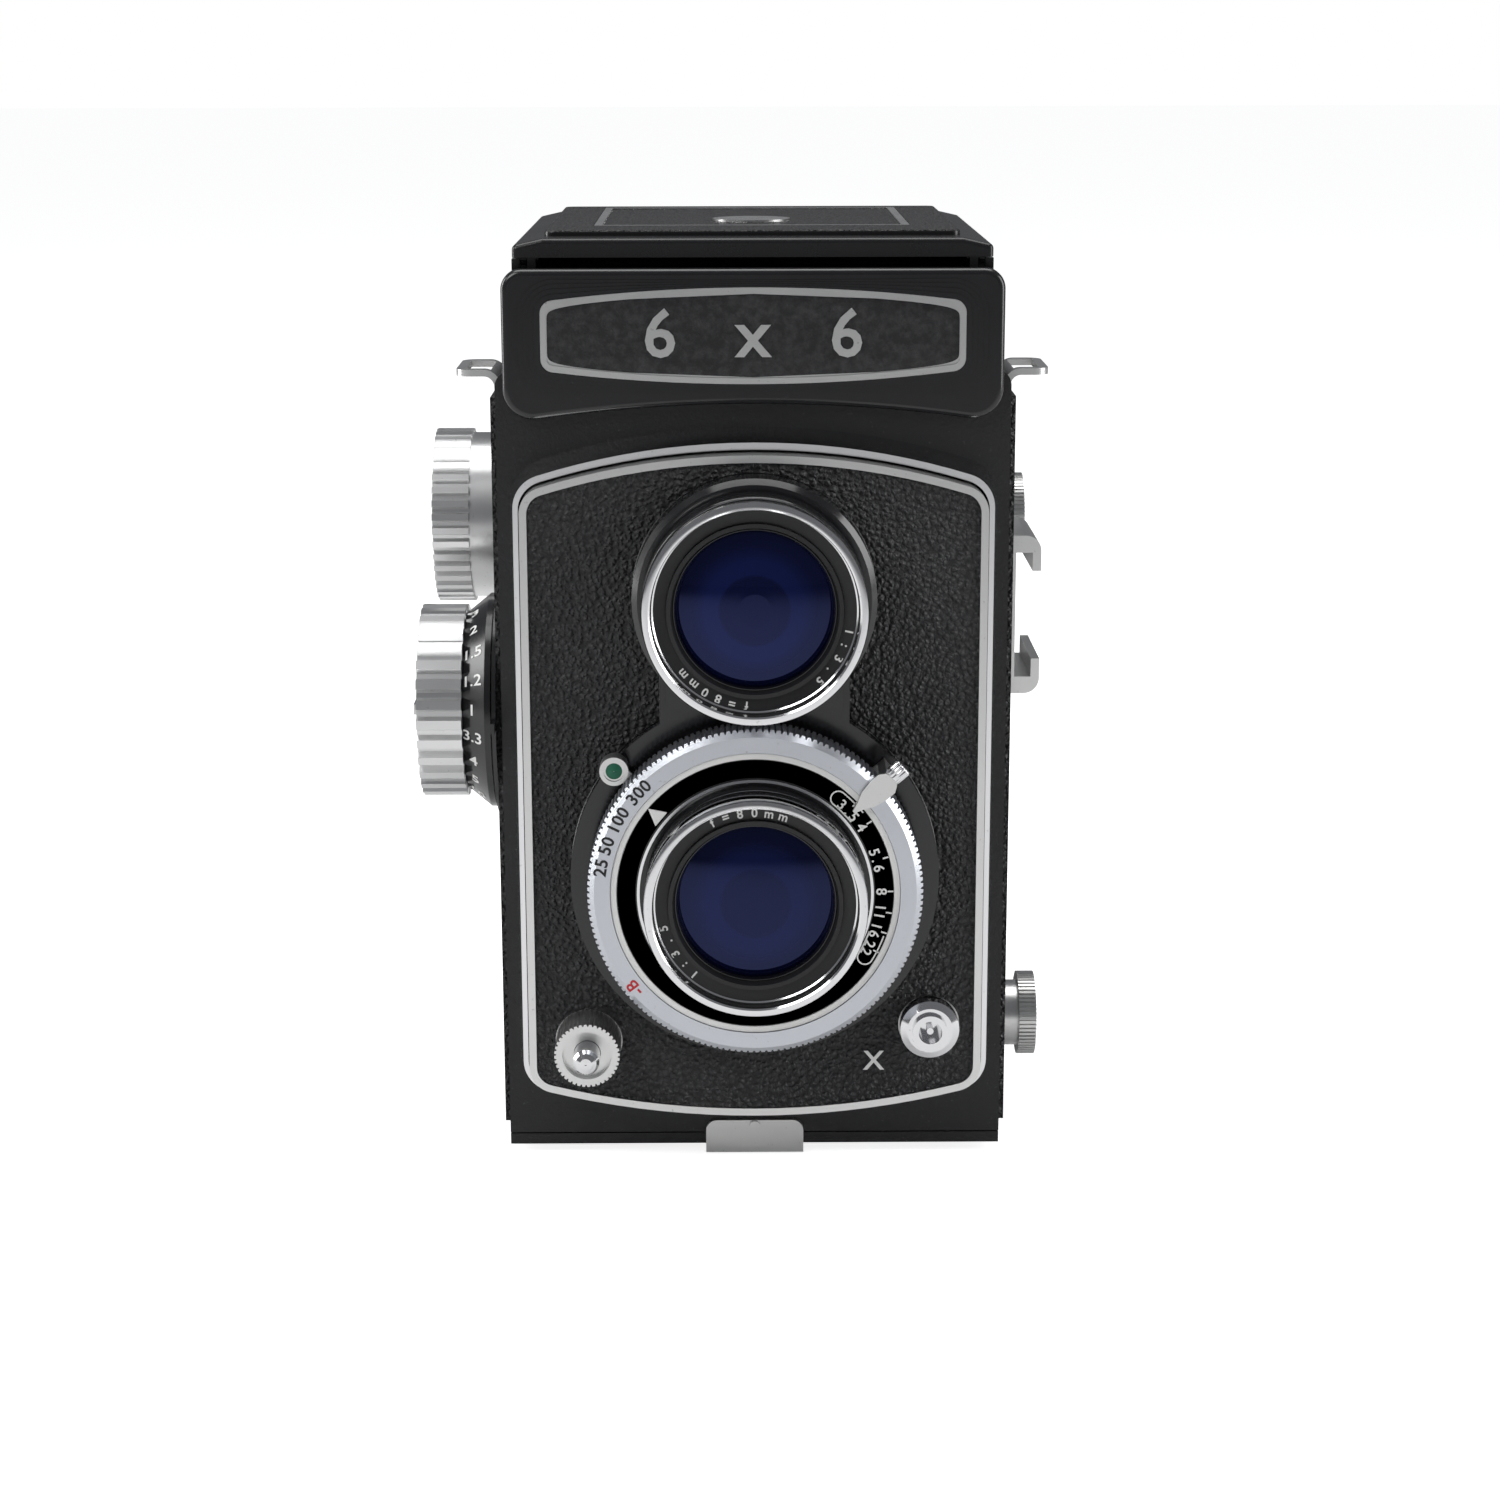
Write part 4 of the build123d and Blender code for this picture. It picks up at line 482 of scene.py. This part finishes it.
BLACK = enamel("hood_enamel", 0.16, 0.3)
GLOSS_BLACK = enamel("shutter_enamel", 0.1, 0.22)
MATT_BLACK = enamel("inner_black", 0.5, 0.7, (0.006, 0.006, 0.007))
CRINKLE = crinkle()
LEATHER = leatherette()
CHROME = plated("polished_plate", (0.78, 0.78, 0.79), 0.06, 0.16)
SATIN = plated("satin_plate", (0.72, 0.72, 0.71), 0.24, 0.36, 0.00001)
STEEL = plated("bright_steel", (0.6, 0.6, 0.6), 0.2, 0.32)
WHITE_MARK = paint_mark("white_filling", (0.85, 0.85, 0.83))
BLACK_MARK = paint_mark("black_filling", (0.01, 0.01, 0.01))
RED_MARK = paint_mark("red_filling", (0.55, 0.02, 0.03))
GREEN_MARK = paint_mark("green_enamel", (0.01, 0.13, 0.07))
CRACKLE = crackle()
LID_TOP = high("finder_flap")[2] - 0.00015
LID_FINISH = part_covered("lid_enamel_and_covering", LID_TOP - LID_COVER_DROP, True, False)
FLAP_FINISH = part_covered("flap_plate_and_covering", LID_TOP - FLAP_COVER_DROP, False, True)
SPEED_METAL = turned_metal("speed_ring_metal", (0, 0, TAKE_Z), (1, 0, 1),
                           (0.60, 0.62, 0.66), 0.28, 0.38)
WIND_METAL = turned_metal("wind_knob_metal", WIND, (0, 1, 1), (0.74, 0.74, 0.74), 0.24, 0.34)
FOCUS_METAL = turned_metal("focus_knob_metal", FOCUS, (0, 1, 1), (0.74, 0.74, 0.74), 0.24, 0.34)


# ---- surfaces --------------------------------------------------------------------
def mesh_piece(name, points, faces, material, body, smooth=True, sharp_deg=35.0):
    """A piece from arrays of points and faces, smooth where its faces meet gently."""
    mesh = bpy.data.meshes.new(name)
    mesh.from_pydata([tuple(p) for p in np.asarray(points, float)], [],
                     [tuple(int(i) for i in f) for f in faces])
    mesh.update()
    mesh.materials.append(material)
    obj = bpy.data.objects.new(name, mesh)
    bpy.context.scene.collection.objects.link(obj)
    if smooth:
        mesh.shade_smooth()
        mesh.set_sharp_from_angle(angle=math.radians(sharp_deg))
    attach(obj, body)
    return obj


def ring_faces(rows, columns, closed_rows=False):
    """Quads of a grid whose columns close on themselves; rows may close too."""
    row = np.arange(rows if closed_rows else rows - 1)
    column = np.arange(columns)
    a, b = np.meshgrid(row, column, indexing="ij")
    after = (a + 1) % rows
    beside = (b + 1) % columns
    quads = np.stack([a * columns + b, a * columns + beside,
                      after * columns + beside, after * columns + b], axis=-1)
    return quads.reshape(-1, 4)


def turned_y(name, profile, centre, material, body, turns=144):
    """Solid of revolution about a line along Y.

    A closed profile of (radius, y) points is swept round: point (r, y) at angle a
    lands on (x0 + r cos a, y, z0 + r sin a). The profile runs so that faces point out.
    """
    outline = np.array(profile, float)
    angle = np.linspace(0, 2 * np.pi, turns, endpoint=False)
    radius, depth = outline[:, 0:1], outline[:, 1:2]
    points = np.stack([centre[0] + radius * np.cos(angle), depth + 0 * angle,
                       centre[1] + radius * np.sin(angle)], axis=-1).reshape(-1, 3)
    faces = ring_faces(len(outline), turns, closed_rows=True)
    area = 0.5 * np.sum(outline[:, 0] * np.roll(outline[:, 1], -1)
                        - np.roll(outline[:, 0], -1) * outline[:, 1])
    if area > 0:
        faces = faces[:, ::-1]
    return mesh_piece(name, points, faces, material, body)


def dome(name, centre, radius, vertex_y, bulge, thickness, material, body, rings=24, turns=96):
    """Lens: a spherical cap towards the subject, a short edge and a flat back.

    The cap's depth behind its vertex is bulge * (r / radius) squared.
    """
    share = np.sqrt(np.linspace(0, 1, rings))[1:]
    angle = np.linspace(0, 2 * np.pi, turns, endpoint=False)
    radii = np.concatenate([share * radius, [radius]])
    depth = np.concatenate([vertex_y + bulge * share ** 2, [vertex_y + bulge + thickness]])
    points = np.stack([centre[0] + radii[:, None] * np.cos(angle), depth[:, None] + 0 * angle,
                       centre[1] + radii[:, None] * np.sin(angle)], axis=-1).reshape(-1, 3)
    count = len(points)
    tip = [(centre[0], vertex_y, centre[1]), (centre[0], depth[-1], centre[1])]
    points = np.vstack([points, tip])
    faces = [tuple(f) for f in ring_faces(len(radii), turns)]
    last = (len(radii) - 1) * turns
    beside = [(i + 1) % turns for i in range(turns)]
    faces += [(i, beside[i], count) for i in range(turns)]
    faces += [(last + beside[i], last + i, count + 1) for i in range(turns)]
    return mesh_piece(name, points, faces, material, body)


def text_mesh(words, size, relief, weight=0.0):
    """Points and faces of upright lettering in its own plane, centred, Z towards the reader."""
    curve = bpy.data.curves.new("letters", "FONT")
    curve.body = words
    curve.size = size
    curve.extrude = relief
    curve.offset = weight
    curve.resolution_u = 3
    curve.align_x = "CENTER"
    curve.align_y = "CENTER"
    obj = bpy.data.objects.new("letters", curve)
    bpy.context.scene.collection.objects.link(obj)
    bpy.context.view_layer.update()
    mesh = bpy.data.meshes.new_from_object(obj.evaluated_get(
        bpy.context.evaluated_depsgraph_get()))
    points = np.zeros(len(mesh.vertices) * 3)
    mesh.vertices.foreach_get("co", points)
    faces = [tuple(p.vertices) for p in mesh.polygons]
    bpy.data.objects.remove(obj)
    bpy.data.curves.remove(curve)
    bpy.data.meshes.remove(mesh)
    return points.reshape(-1, 3), faces


class Marks:
    """Collects lettering and bars that face the subject into one piece."""

    def __init__(self, surface_y, relief=0.00006):
        self.surface_y = surface_y
        self.relief = relief
        self.points = []
        self.faces = []
        self.count = 0

    def place(self, points, faces, x, z, turn):
        """Turn a flat shape by an angle and set it on the face at (x, z)."""
        c, s = math.cos(turn), math.sin(turn)
        flat = np.stack([x + c * points[:, 0] - s * points[:, 1],
                         self.surface_y - self.relief * 0.5 - points[:, 2],
                         z + s * points[:, 0] + c * points[:, 1]], axis=-1)
        self.points.append(flat)
        self.faces += [tuple(i + self.count for i in f) for f in faces]
        self.count += len(flat)

    def words(self, text, size, x, z, turn=0.0, weight=0.0):
        """Lettering centred at (x, z)."""
        points, faces = text_mesh(text, size, self.relief / 2, weight)
        self.place(points, faces, x, z, turn)

    def round_words(self, text, size, centre, radius, degrees, weight=0.0, squeeze=0.62):
        """Lettering along a circle, tops outwards, centred at an angle in degrees."""
        step = size * squeeze / radius
        start = math.radians(degrees) + step * (len(text) - 1) / 2
        for index, letter in enumerate(text):
            if letter == " ":
                continue
            angle = start - step * index
            self.words(letter, size, centre[0] + radius * math.cos(angle),
                       centre[1] + radius * math.sin(angle), angle - math.pi / 2, weight)

    def bar(self, length, width, x, z, turn=0.0):
        """Flat bar, length along its own X."""
        a, b, h = length / 2, width / 2, self.relief / 2
        points = np.array([(sx * a, sy * b, sz * h) for sz in (-1, 1) for sy in (-1, 1)
                           for sx in (-1, 1)])
        faces = [(0, 2, 3, 1), (4, 5, 7, 6), (0, 1, 5, 4), (2, 6, 7, 3), (0, 4, 6, 2),
                 (1, 3, 7, 5)]
        self.place(points, faces, x, z, turn)

    def ray(self, centre, inner, outer, degrees, width):
        """Radial bar between two radii."""
        angle = math.radians(degrees)
        mid = (inner + outer) / 2
        self.bar(outer - inner, width, centre[0] + mid * math.cos(angle),
                 centre[1] + mid * math.sin(angle), angle)

    def arc(self, centre, radius, width, begin, end, steps=48):
        """Curved bar between two angles in degrees, a square section swept round."""
        angle = np.radians(np.linspace(begin, end, steps))
        h = self.relief / 2
        rows = []
        for radial, depth in ((-width / 2, -h), (width / 2, -h), (width / 2, h), (-width / 2, h)):
            r = radius + radial
            rows.append(np.stack([r * np.cos(angle), r * np.sin(angle),
                                  np.full(steps, depth)], axis=-1))
        points = np.stack(rows, axis=1).reshape(-1, 3)
        faces = []
        for i in range(steps - 1):
            for k in range(4):
                a, b = 4 * i + k, 4 * i + (k + 1) % 4
                faces.append((a, a + 4, b + 4, b) if begin < end else (a, b, b + 4, a + 4))
        last = 4 * (steps - 1)
        caps = [(0, 1, 2, 3), (last + 3, last + 2, last + 1, last)]
        faces += caps if begin < end else [f[::-1] for f in caps]
        self.place(points, faces, centre[0], centre[1], 0.0)

    def finish(self, name, material, body):
        """One piece from everything placed so far."""
        return mesh_piece(name, np.vstack(self.points), self.faces, material, body,
                          smooth=False)


# ---- lens mounts -----------------------------------------------------------------
GLASS_RADIUS = 0.0114
ENGRAVING_RADIUS = 0.01356
ENGRAVING_SIZE = 0.0018


def lens_mount(name, node, height, seat_y):
    """Bright push-on rim with a black stepped lining and a retaining ring; returns the face where the
    front glass sits.
    """
    rim = low(node)[1]
    r = RIM_RADIUS
    bright = turned_y(name + "_rim", [
        (r - 0.0003, seat_y), (r - 0.0003, seat_y - 0.0009), (r - 0.0009, seat_y - 0.0011),
        (r - 0.0009, seat_y - 0.0019), (r - 0.0001, seat_y - 0.0021), (r, seat_y - 0.0023),
        (r, rim + 0.0005), (r - 0.00015, rim + 0.00012), (r - 0.0005, rim),
        (r - 0.0010, rim), (r - 0.00125, rim + 0.0002), (r - 0.00135, rim + 0.0006),
        (r - 0.00135, rim + 0.0022), (r - 0.0019, rim + 0.0026), (r - 0.0019, seat_y)],
        (0, height), CHROME, "board")
    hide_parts(node)
    face = rim + 0.0024
    lining = turned_y(name + "_lining", [
        (r - 0.00137, face - 0.0008), (r - 0.00145, face), (0.0126, face + 0.0002),
        (0.0125, face - 0.0004), (0.0119, face - 0.0004), (0.0118, face + 0.0004),
        (0.01155, face + 0.0012), (0.01155, face + 0.0040), (r - 0.00137, face + 0.0040)],
        (0, height), MATT_BLACK, "board")
    groove = turned_y(name + "_retaining_ring", [
        (0.01153, face + 0.0009), (0.01153, face + 0.0022), (0.01125, face + 0.0022),
        (0.01125, face + 0.0012), (0.0114, face + 0.0009)], (0, height), GLOSS_BLACK, "board")
    return face


def lens_engraving(name, height, face, places):
    """Small generic data engraved round the lining."""
    marks = Marks(face + 0.0001, 0.00006)
    for text, degrees in places:
        marks.round_words(text, ENGRAVING_SIZE, (0, height), ENGRAVING_RADIUS, degrees, 0.00004, 1.15)
    piece = marks.finish(name, WHITE_MARK, "board")


VIEW_SEAT = VIEW_RIM + 0.0099
TAKE_SEAT = low("aperture_scale")[1]

view_face = lens_mount("viewing_mount", "viewing_lens_barrel", VIEW_Z, VIEW_SEAT)
take_face = lens_mount("taking_mount", "taking_lens_barrel", TAKE_Z, TAKE_SEAT)
lens_engraving("viewing_lens_data", VIEW_Z, view_face, (("1:3.5", -30), ("f=80mm", -117)))
lens_engraving("taking_lens_data", TAKE_Z, take_face, (("1:3.5", 212), ("f=80mm", 95)))

# The last colour given to each coating is the colour of its painted ring reflections.
view_glass = dome("viewing_glass", (0, VIEW_Z), GLASS_RADIUS, view_face + 0.0002, 0.0016, 0.0012,
                  coated_glass("viewing_coating", (0, 0, VIEW_Z), GLASS_RADIUS,
                               (0.002, 0.003, 0.022), (0.004, 0.008, 0.05)), "board")
take_glass = dome("taking_glass", (0, TAKE_Z), GLASS_RADIUS, take_face + 0.0006, 0.0013, 0.0012,
                  coated_glass("taking_coating", (0, 0, TAKE_Z), GLASS_RADIUS,
                               (0.002, 0.003, 0.018), (0.004, 0.007, 0.04)), "board")
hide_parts("front_elements")


# ---- shutter face ------------------------------------------------------------------
def shutter_face():
    """Rings between the speed ring and the lens mount, from outside inwards."""
    back = low("aperture_scale")[1]
    white = turned_y("white_ring", [
        (0.0210, SPEED_FACE + 0.0004), (0.0209, SPEED_FACE + 0.0002),
        (0.0201, SPEED_FACE + 0.0002), (0.0200, SPEED_FACE + 0.0004),
        (0.0200, SPEED_FACE + 0.0010), (0.0210, SPEED_FACE + 0.0010)], (0, TAKE_Z),
        WHITE_MARK, "board")
    disc = turned_y("stop_scale_disc", [
        (0.0200, back + 0.0004), (0.01995, back), (0.0173, back), (0.0172, back + 0.0004)],
        (0, TAKE_Z), GLOSS_BLACK, "board")
    line = turned_y("bright_line", [
        (0.0172, back + 0.0004), (0.0171, back - 0.0003), (0.0167, back - 0.0003),
        (0.0166, back + 0.0004)], (0, TAKE_Z), CHROME, "board")


def speed_numbers():
    """Shutter speeds round the speed ring, tops outwards."""
    marks = Marks(SPEED_FACE, 0.00006)
    for text, degrees in (("300", 137.5), ("100", 150.5), ("50", 161), ("25", 169.5)):
        marks.round_words(text, 0.0026, (0, TAKE_Z), 0.02255, degrees, 0.00005, 0.53)
    piece = marks.finish("speed_numbers", BLACK_MARK, "speed_setting")
    bulb = Marks(SPEED_FACE, 0.00006)
    bulb.round_words("-B", 0.0025, (0, TAKE_Z), 0.02245, 219, 0.00004, 0.5)
    piece = bulb.finish("speed_bulb_mark", RED_MARK, "speed_setting")


STOPS = (("3.5", 43), ("4", 33), ("5.6", 16), ("8", 1), ("11", -8.5), ("16", -17.5), ("22", -26.5))

LOOP_OUTER = 0.01965          # the bright loop round the stop numbers
LOOP_INNER = 0.01745
LOOP_MIDDLE = 0.01855
LOOP_END = 0.0011
LOOP_WIDTH = 0.0002


def stop_scale():
    """Stop numbers, their ticks and the long loop round them."""
    face = low("aperture_scale")[1]
    marks = Marks(face, 0.00006)
    centre = (0, TAKE_Z)
    for text, degrees in STOPS:
        marks.round_words(text, 0.00215, centre, 0.01815, degrees, 0.00003, 0.58)
        marks.ray(centre, 0.0191, 0.01995, degrees, 0.00022)
    for begin, end, turn in ((50, 38, 180), (-31, -19, -180)):
        for radius in (LOOP_OUTER, LOOP_INNER):
            marks.arc(centre, radius, LOOP_WIDTH, begin, end, 16)
        angle = math.radians(begin)
        cap = (LOOP_MIDDLE * math.cos(angle), TAKE_Z + LOOP_MIDDLE * math.sin(angle))
        marks.arc(cap, LOOP_END, LOOP_WIDTH, begin, begin + turn, 16)
    piece = marks.finish("stop_numbers", WHITE_MARK, "board")
    arrow = Marks(SPEED_FACE + 0.0002, 0.0003)
    angle = math.radians(140)
    outline = np.array([(0.0200, 0.0), (0.0176, 0.0013), (0.0176, -0.0013)])
    points = np.vstack([np.column_stack([outline, np.full(3, -0.00015)]),
                        np.column_stack([outline, np.full(3, 0.00015)])])
    faces = [(2, 1, 0), (3, 4, 5), (0, 1, 4, 3), (1, 2, 5, 4), (2, 0, 3, 5)]
    arrow.place(points, faces, 0, TAKE_Z, angle)
    piece = arrow.finish("speed_pointer", WHITE_MARK, "board")


def socket_letter():
    """Contact letter beside the flash socket."""
    marks = Marks(LEATHER_FACE - 0.0001, 0.0001)
    marks.words("X", 0.0042, 0.0178, 0.0184, 0.0, 0.00006)
    piece = marks.finish("flash_contact_letter", WHITE_MARK, "board")


COCKING_RADIUS = 0.0267       # from the taking lens to the head of the cocking lever


def cocking_dot():
    """Green enamel dot in the head of the cocking lever."""
    lo = low("cocking_lever")
    x = lo[0] + 0.0021
    z = TAKE_Z + math.sqrt(COCKING_RADIUS ** 2 - x ** 2)
    face = lo[1]
    dot = turned_y("cocking_dot", [(0.0001, face + 0.00004), (0.0008, face + 0.0001),
                                   (0.0012, face + 0.0003), (0.0001, face + 0.0003)],
                   (x, z), GREEN_MARK, "cocking", 32)


def radial_plate(name, outline, front, back, degrees, material, body):
    """Flat plate on a spoke of the shutter: outline holds (radius, offset across) points.

    A point (u, v) lands on (u cos a - v sin a, y, z0 + u sin a + v cos a) at both faces.
    """
    flat = np.array(outline, float)
    c, t = math.cos(math.radians(degrees)), math.sin(math.radians(degrees))
    x = flat[:, 0] * c - flat[:, 1] * t
    z = TAKE_Z + flat[:, 0] * t + flat[:, 1] * c
    count = len(flat)
    points = np.concatenate([np.column_stack([x, np.full(count, y), z]) for y in (front, back)])
    index = np.arange(count)
    after = (index + 1) % count
    sides = np.column_stack([index, index + count, after + count, after])
    faces = [tuple(index), tuple(index[::-1] + count)] + [tuple(f) for f in sides]
    area = np.sum(flat[:, 0] * np.roll(flat[:, 1], -1) - np.roll(flat[:, 0], -1) * flat[:, 1])
    if area < 0:
        faces = [tuple(reversed(f)) for f in faces]
    return mesh_piece(name, points, faces, material, body, sharp_deg=30.0)


STOP_LEVER_ANGLE = 41.5       # degrees, at the rest position


def stop_lever():
    """Stop lever: a ring behind the speed ring, a post, a pointed shoe and a knurled knob.

    The knob is turned about its spoke: radius R + a cos(n t) along the spoke, with its
    ends drawn in.
    """
    degrees = STOP_LEVER_ANGLE
    back = high("aperture_lever")[1]
    ring = turned_y("stop_lever", [
        (0.01770, back), (0.01770, back - 0.0008), (0.0203, back - 0.0008), (0.0203, back)],
        (0, TAKE_Z), SATIN, "stop_setting")
    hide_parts("aperture_lever")
    face = SPEED_FACE - 0.0001
    arm = [(0.0200, -0.0012), (0.0262, -0.0012), (0.0262, 0.0012), (0.0200, 0.0012)]
    post = [(0.0249, -0.0012), (0.0262, -0.0012), (0.0262, 0.0012), (0.0249, 0.0012)]
    shoe = [(0.0188, -0.0002), (0.0200, -0.0006), (0.0216, -0.0014), (0.0236, -0.0018),
            (0.0251, -0.0018), (0.0260, -0.0012), (0.0262, -0.0004), (0.0262, 0.0004),
            (0.0260, 0.0012), (0.0251, 0.0018), (0.0236, 0.0018), (0.0216, 0.0014),
            (0.0200, 0.0006), (0.0188, 0.0002)]
    parts = (("stop_lever_arm", arm, back - 0.0008, back), ("stop_lever_post", post, face, back),
             ("stop_lever_shoe", shoe, face - 0.0007, face))
    for name, outline, front, rear in parts:
        piece = radial_plate(name, outline, front, rear, degrees, SATIN, "stop_setting")
    along = np.array([0.0258, 0.0260, 0.0263, 0.0282, 0.0285, 0.0286])
    girth = np.array([0.05, 0.85, 1.0, 1.0, 0.85, 0.05])
    turns = 96
    turn = np.linspace(0, 2 * np.pi, turns, endpoint=False)
    radius = girth[:, None] * (0.00135 + 0.00006 * np.cos(16 * turn))
    c, t = math.cos(math.radians(degrees)), math.sin(math.radians(degrees))
    across = radius * np.cos(turn)
    depth = face + 0.0006 + radius * np.sin(turn)
    points = np.stack([along[:, None] * c - across * t, depth,
                       TAKE_Z + along[:, None] * t + across * c], axis=-1).reshape(-1, 3)
    faces = [tuple(f) for f in ring_faces(len(along), turns)]
    last = turns * (len(along) - 1)
    faces += [tuple(range(turns - 1, -1, -1)), tuple(range(last, last + turns))]
    knob = mesh_piece("stop_lever_knob", points, faces, CHROME, "stop_setting", sharp_deg=60.0)


def cone_numbers():
    """Distances round the black cone beside the focusing knob, read from the front.

    Lettering bent round the cone: a point (u, v) lands at x0 + u and angle a + v / r.
    """
    lo, hi = low("distance_scale"), high("distance_scale")
    wide, narrow = (hi - lo)[2] / 2, 0.0136
    x_wide, x_narrow = hi[0] - 0.0009, lo[0]
    x_mid = (x_wide + x_narrow) / 2 - 0.0002
    slope = (wide - narrow) / (x_wide - x_narrow)
    all_points, all_faces, count = [], [], 0
    for text, degrees in (("1", 174), ("1.2", 157), ("1.5", 140), ("2", 123), ("3", 106),
                          ("3.3", 190), ("4", 206), ("5", 222), ("10", 238)):
        flat, faces = text_mesh(text, 0.0026, 0.00003, 0.00003)
        x = x_mid + flat[:, 0]
        radius = narrow + slope * (x - x_narrow) + 0.00003 + flat[:, 2]
        angle = math.radians(degrees) - flat[:, 1] / wide
        all_points.append(np.column_stack([x, FOCUS[1] + radius * np.cos(angle),
                                           FOCUS[2] + radius * np.sin(angle)]))
        all_faces += [tuple(i + count for i in f) for f in faces]
        count += len(flat)
    piece = mesh_piece("distance_numbers", np.vstack(all_points), all_faces, WHITE_MARK,
                       "focus_drive", smooth=False)


stop_lever()
cone_numbers()
shutter_face()
speed_numbers()
stop_scale()
socket_letter()
cocking_dot()


# ---- name plate --------------------------------------------------------------------
def plate_field():
    """Black crackled field of the name plate with a plain format number.

    Its outline is x = H c, z = (E + (M - E)(1 - (x / H) squared)) s, where c and s are
    the cosine and sine of an angle raised to a small power with their signs kept.
    """
    lo, hi = low("nameplate"), high("nameplate")
    border = 0.00095
    half, mid = (hi - lo)[0] / 2 - border, (hi - lo)[2] / 2 - border
    end = mid - 0.002
    floor = lo[1] + 0.00035
    height = (hi + lo)[2] / 2
    turns, power = 160, 0.16
    angle = np.linspace(0, 2 * np.pi, turns, endpoint=False)
    c, t = np.cos(angle), np.sin(angle)
    x = half * np.sign(c) * np.abs(c) ** power
    z = (end + (mid - end) * (1 - (x / half) ** 2)) * np.sign(t) * np.abs(t) ** power
    rows = [(share, floor - 0.0001) for share in (0.02, 0.35, 0.7, 0.97)]
    rows += [(1.0, floor - 0.00004), (1.0, floor + 0.00005), (0.02, floor + 0.00005)]
    points = np.stack([np.stack([share * x, np.full(turns, y), height + share * z], axis=-1)
                       for share, y in rows]).reshape(-1, 3)
    faces = [tuple(f) for f in ring_faces(len(rows), turns)]
    last = turns * (len(rows) - 1)
    faces += [tuple(range(turns - 1, -1, -1)), tuple(range(last, last + turns))]
    field = mesh_piece("nameplate_field", points, faces, CRACKLE, "camera_body")
    marks = Marks(floor - 0.0001, 0.0002)
    for letter, x_letter in (("6", -0.0135), ("x", 0.0), ("6", 0.0135)):
        marks.words(letter, 0.0098, x_letter, height, 0.0, 0.00012)
    piece = marks.finish("format_number", SATIN, "camera_body")


plate_field()


# ---- finishes of the frame's own pieces -----------------------------------------------
FINISHES = {
    "body_casting": CRINKLE, "front_bezel": CHROME, "finder_apron": BLACK, "nameplate": SATIN,
    "side_leather_left": LEATHER, "side_leather_right": LEATHER, "case_screws": SATIN,
    "strap_lugs": SATIN, "accessory_shoe": SATIN, "catch_plate": SATIN,
    "focus_index_ring": BLACK, "spool_bushes": SATIN, "light_cone": MATT_BLACK,
    "film_gate": MATT_BLACK, "mirror": CHROME, "mirror_holder": MATT_BLACK,
    "focusing_screen": SATIN, "focus_knob": FOCUS_METAL, "distance_scale": BLACK,
    "focus_shaft": STEEL, "focus_cams": STEEL, "film_speed_dial": FOCUS_METAL,
    "wind_knob": WIND_METAL, "wind_shaft": STEEL, "take_up_spool": MATT_BLACK,
    "wind_button": WIND_METAL, "take_up_side_knob": SATIN, "supply_side_knob": SATIN,
    "film_roller_lower": STEEL, "film_roller_upper": STEEL, "hood_base": BLACK,
    "hood_lid": LID_FINISH, "finder_flap": FLAP_FINISH, "hood_rear_panel": BLACK,
    "hood_left_panel": BLACK, "hood_right_panel": BLACK, "magnifier_arm": BLACK,
    "magnifier_lens": SATIN, "hinge_pins": BLACK, "back_door": CRINKLE,
    "door_leather": LEATHER, "pressure_plate": MATT_BLACK, "lock_dial": SATIN,
    "tripod_bush": SATIN, "door_feet": SATIN, "lens_board": SATIN, "board_trim": SATIN,
    "board_leather": LEATHER, "shutter_housing": GLOSS_BLACK, "speed_ring": SPEED_METAL,
    "aperture_scale": GLOSS_BLACK, "aperture_lever": SATIN, "cocking_lever": SATIN,
    "release_collar": SATIN, "release_plunger": CHROME, "sync_socket": CHROME,
    "iris_and_rear_cells": MATT_BLACK,
}


def repaint():
    """Give every node of the frame its finish."""
    for name, finish in FINISHES.items():
        slots = nodes[name].data.materials
        slots.clear()
        slots.append(finish)


repaint()
camera()
studio()
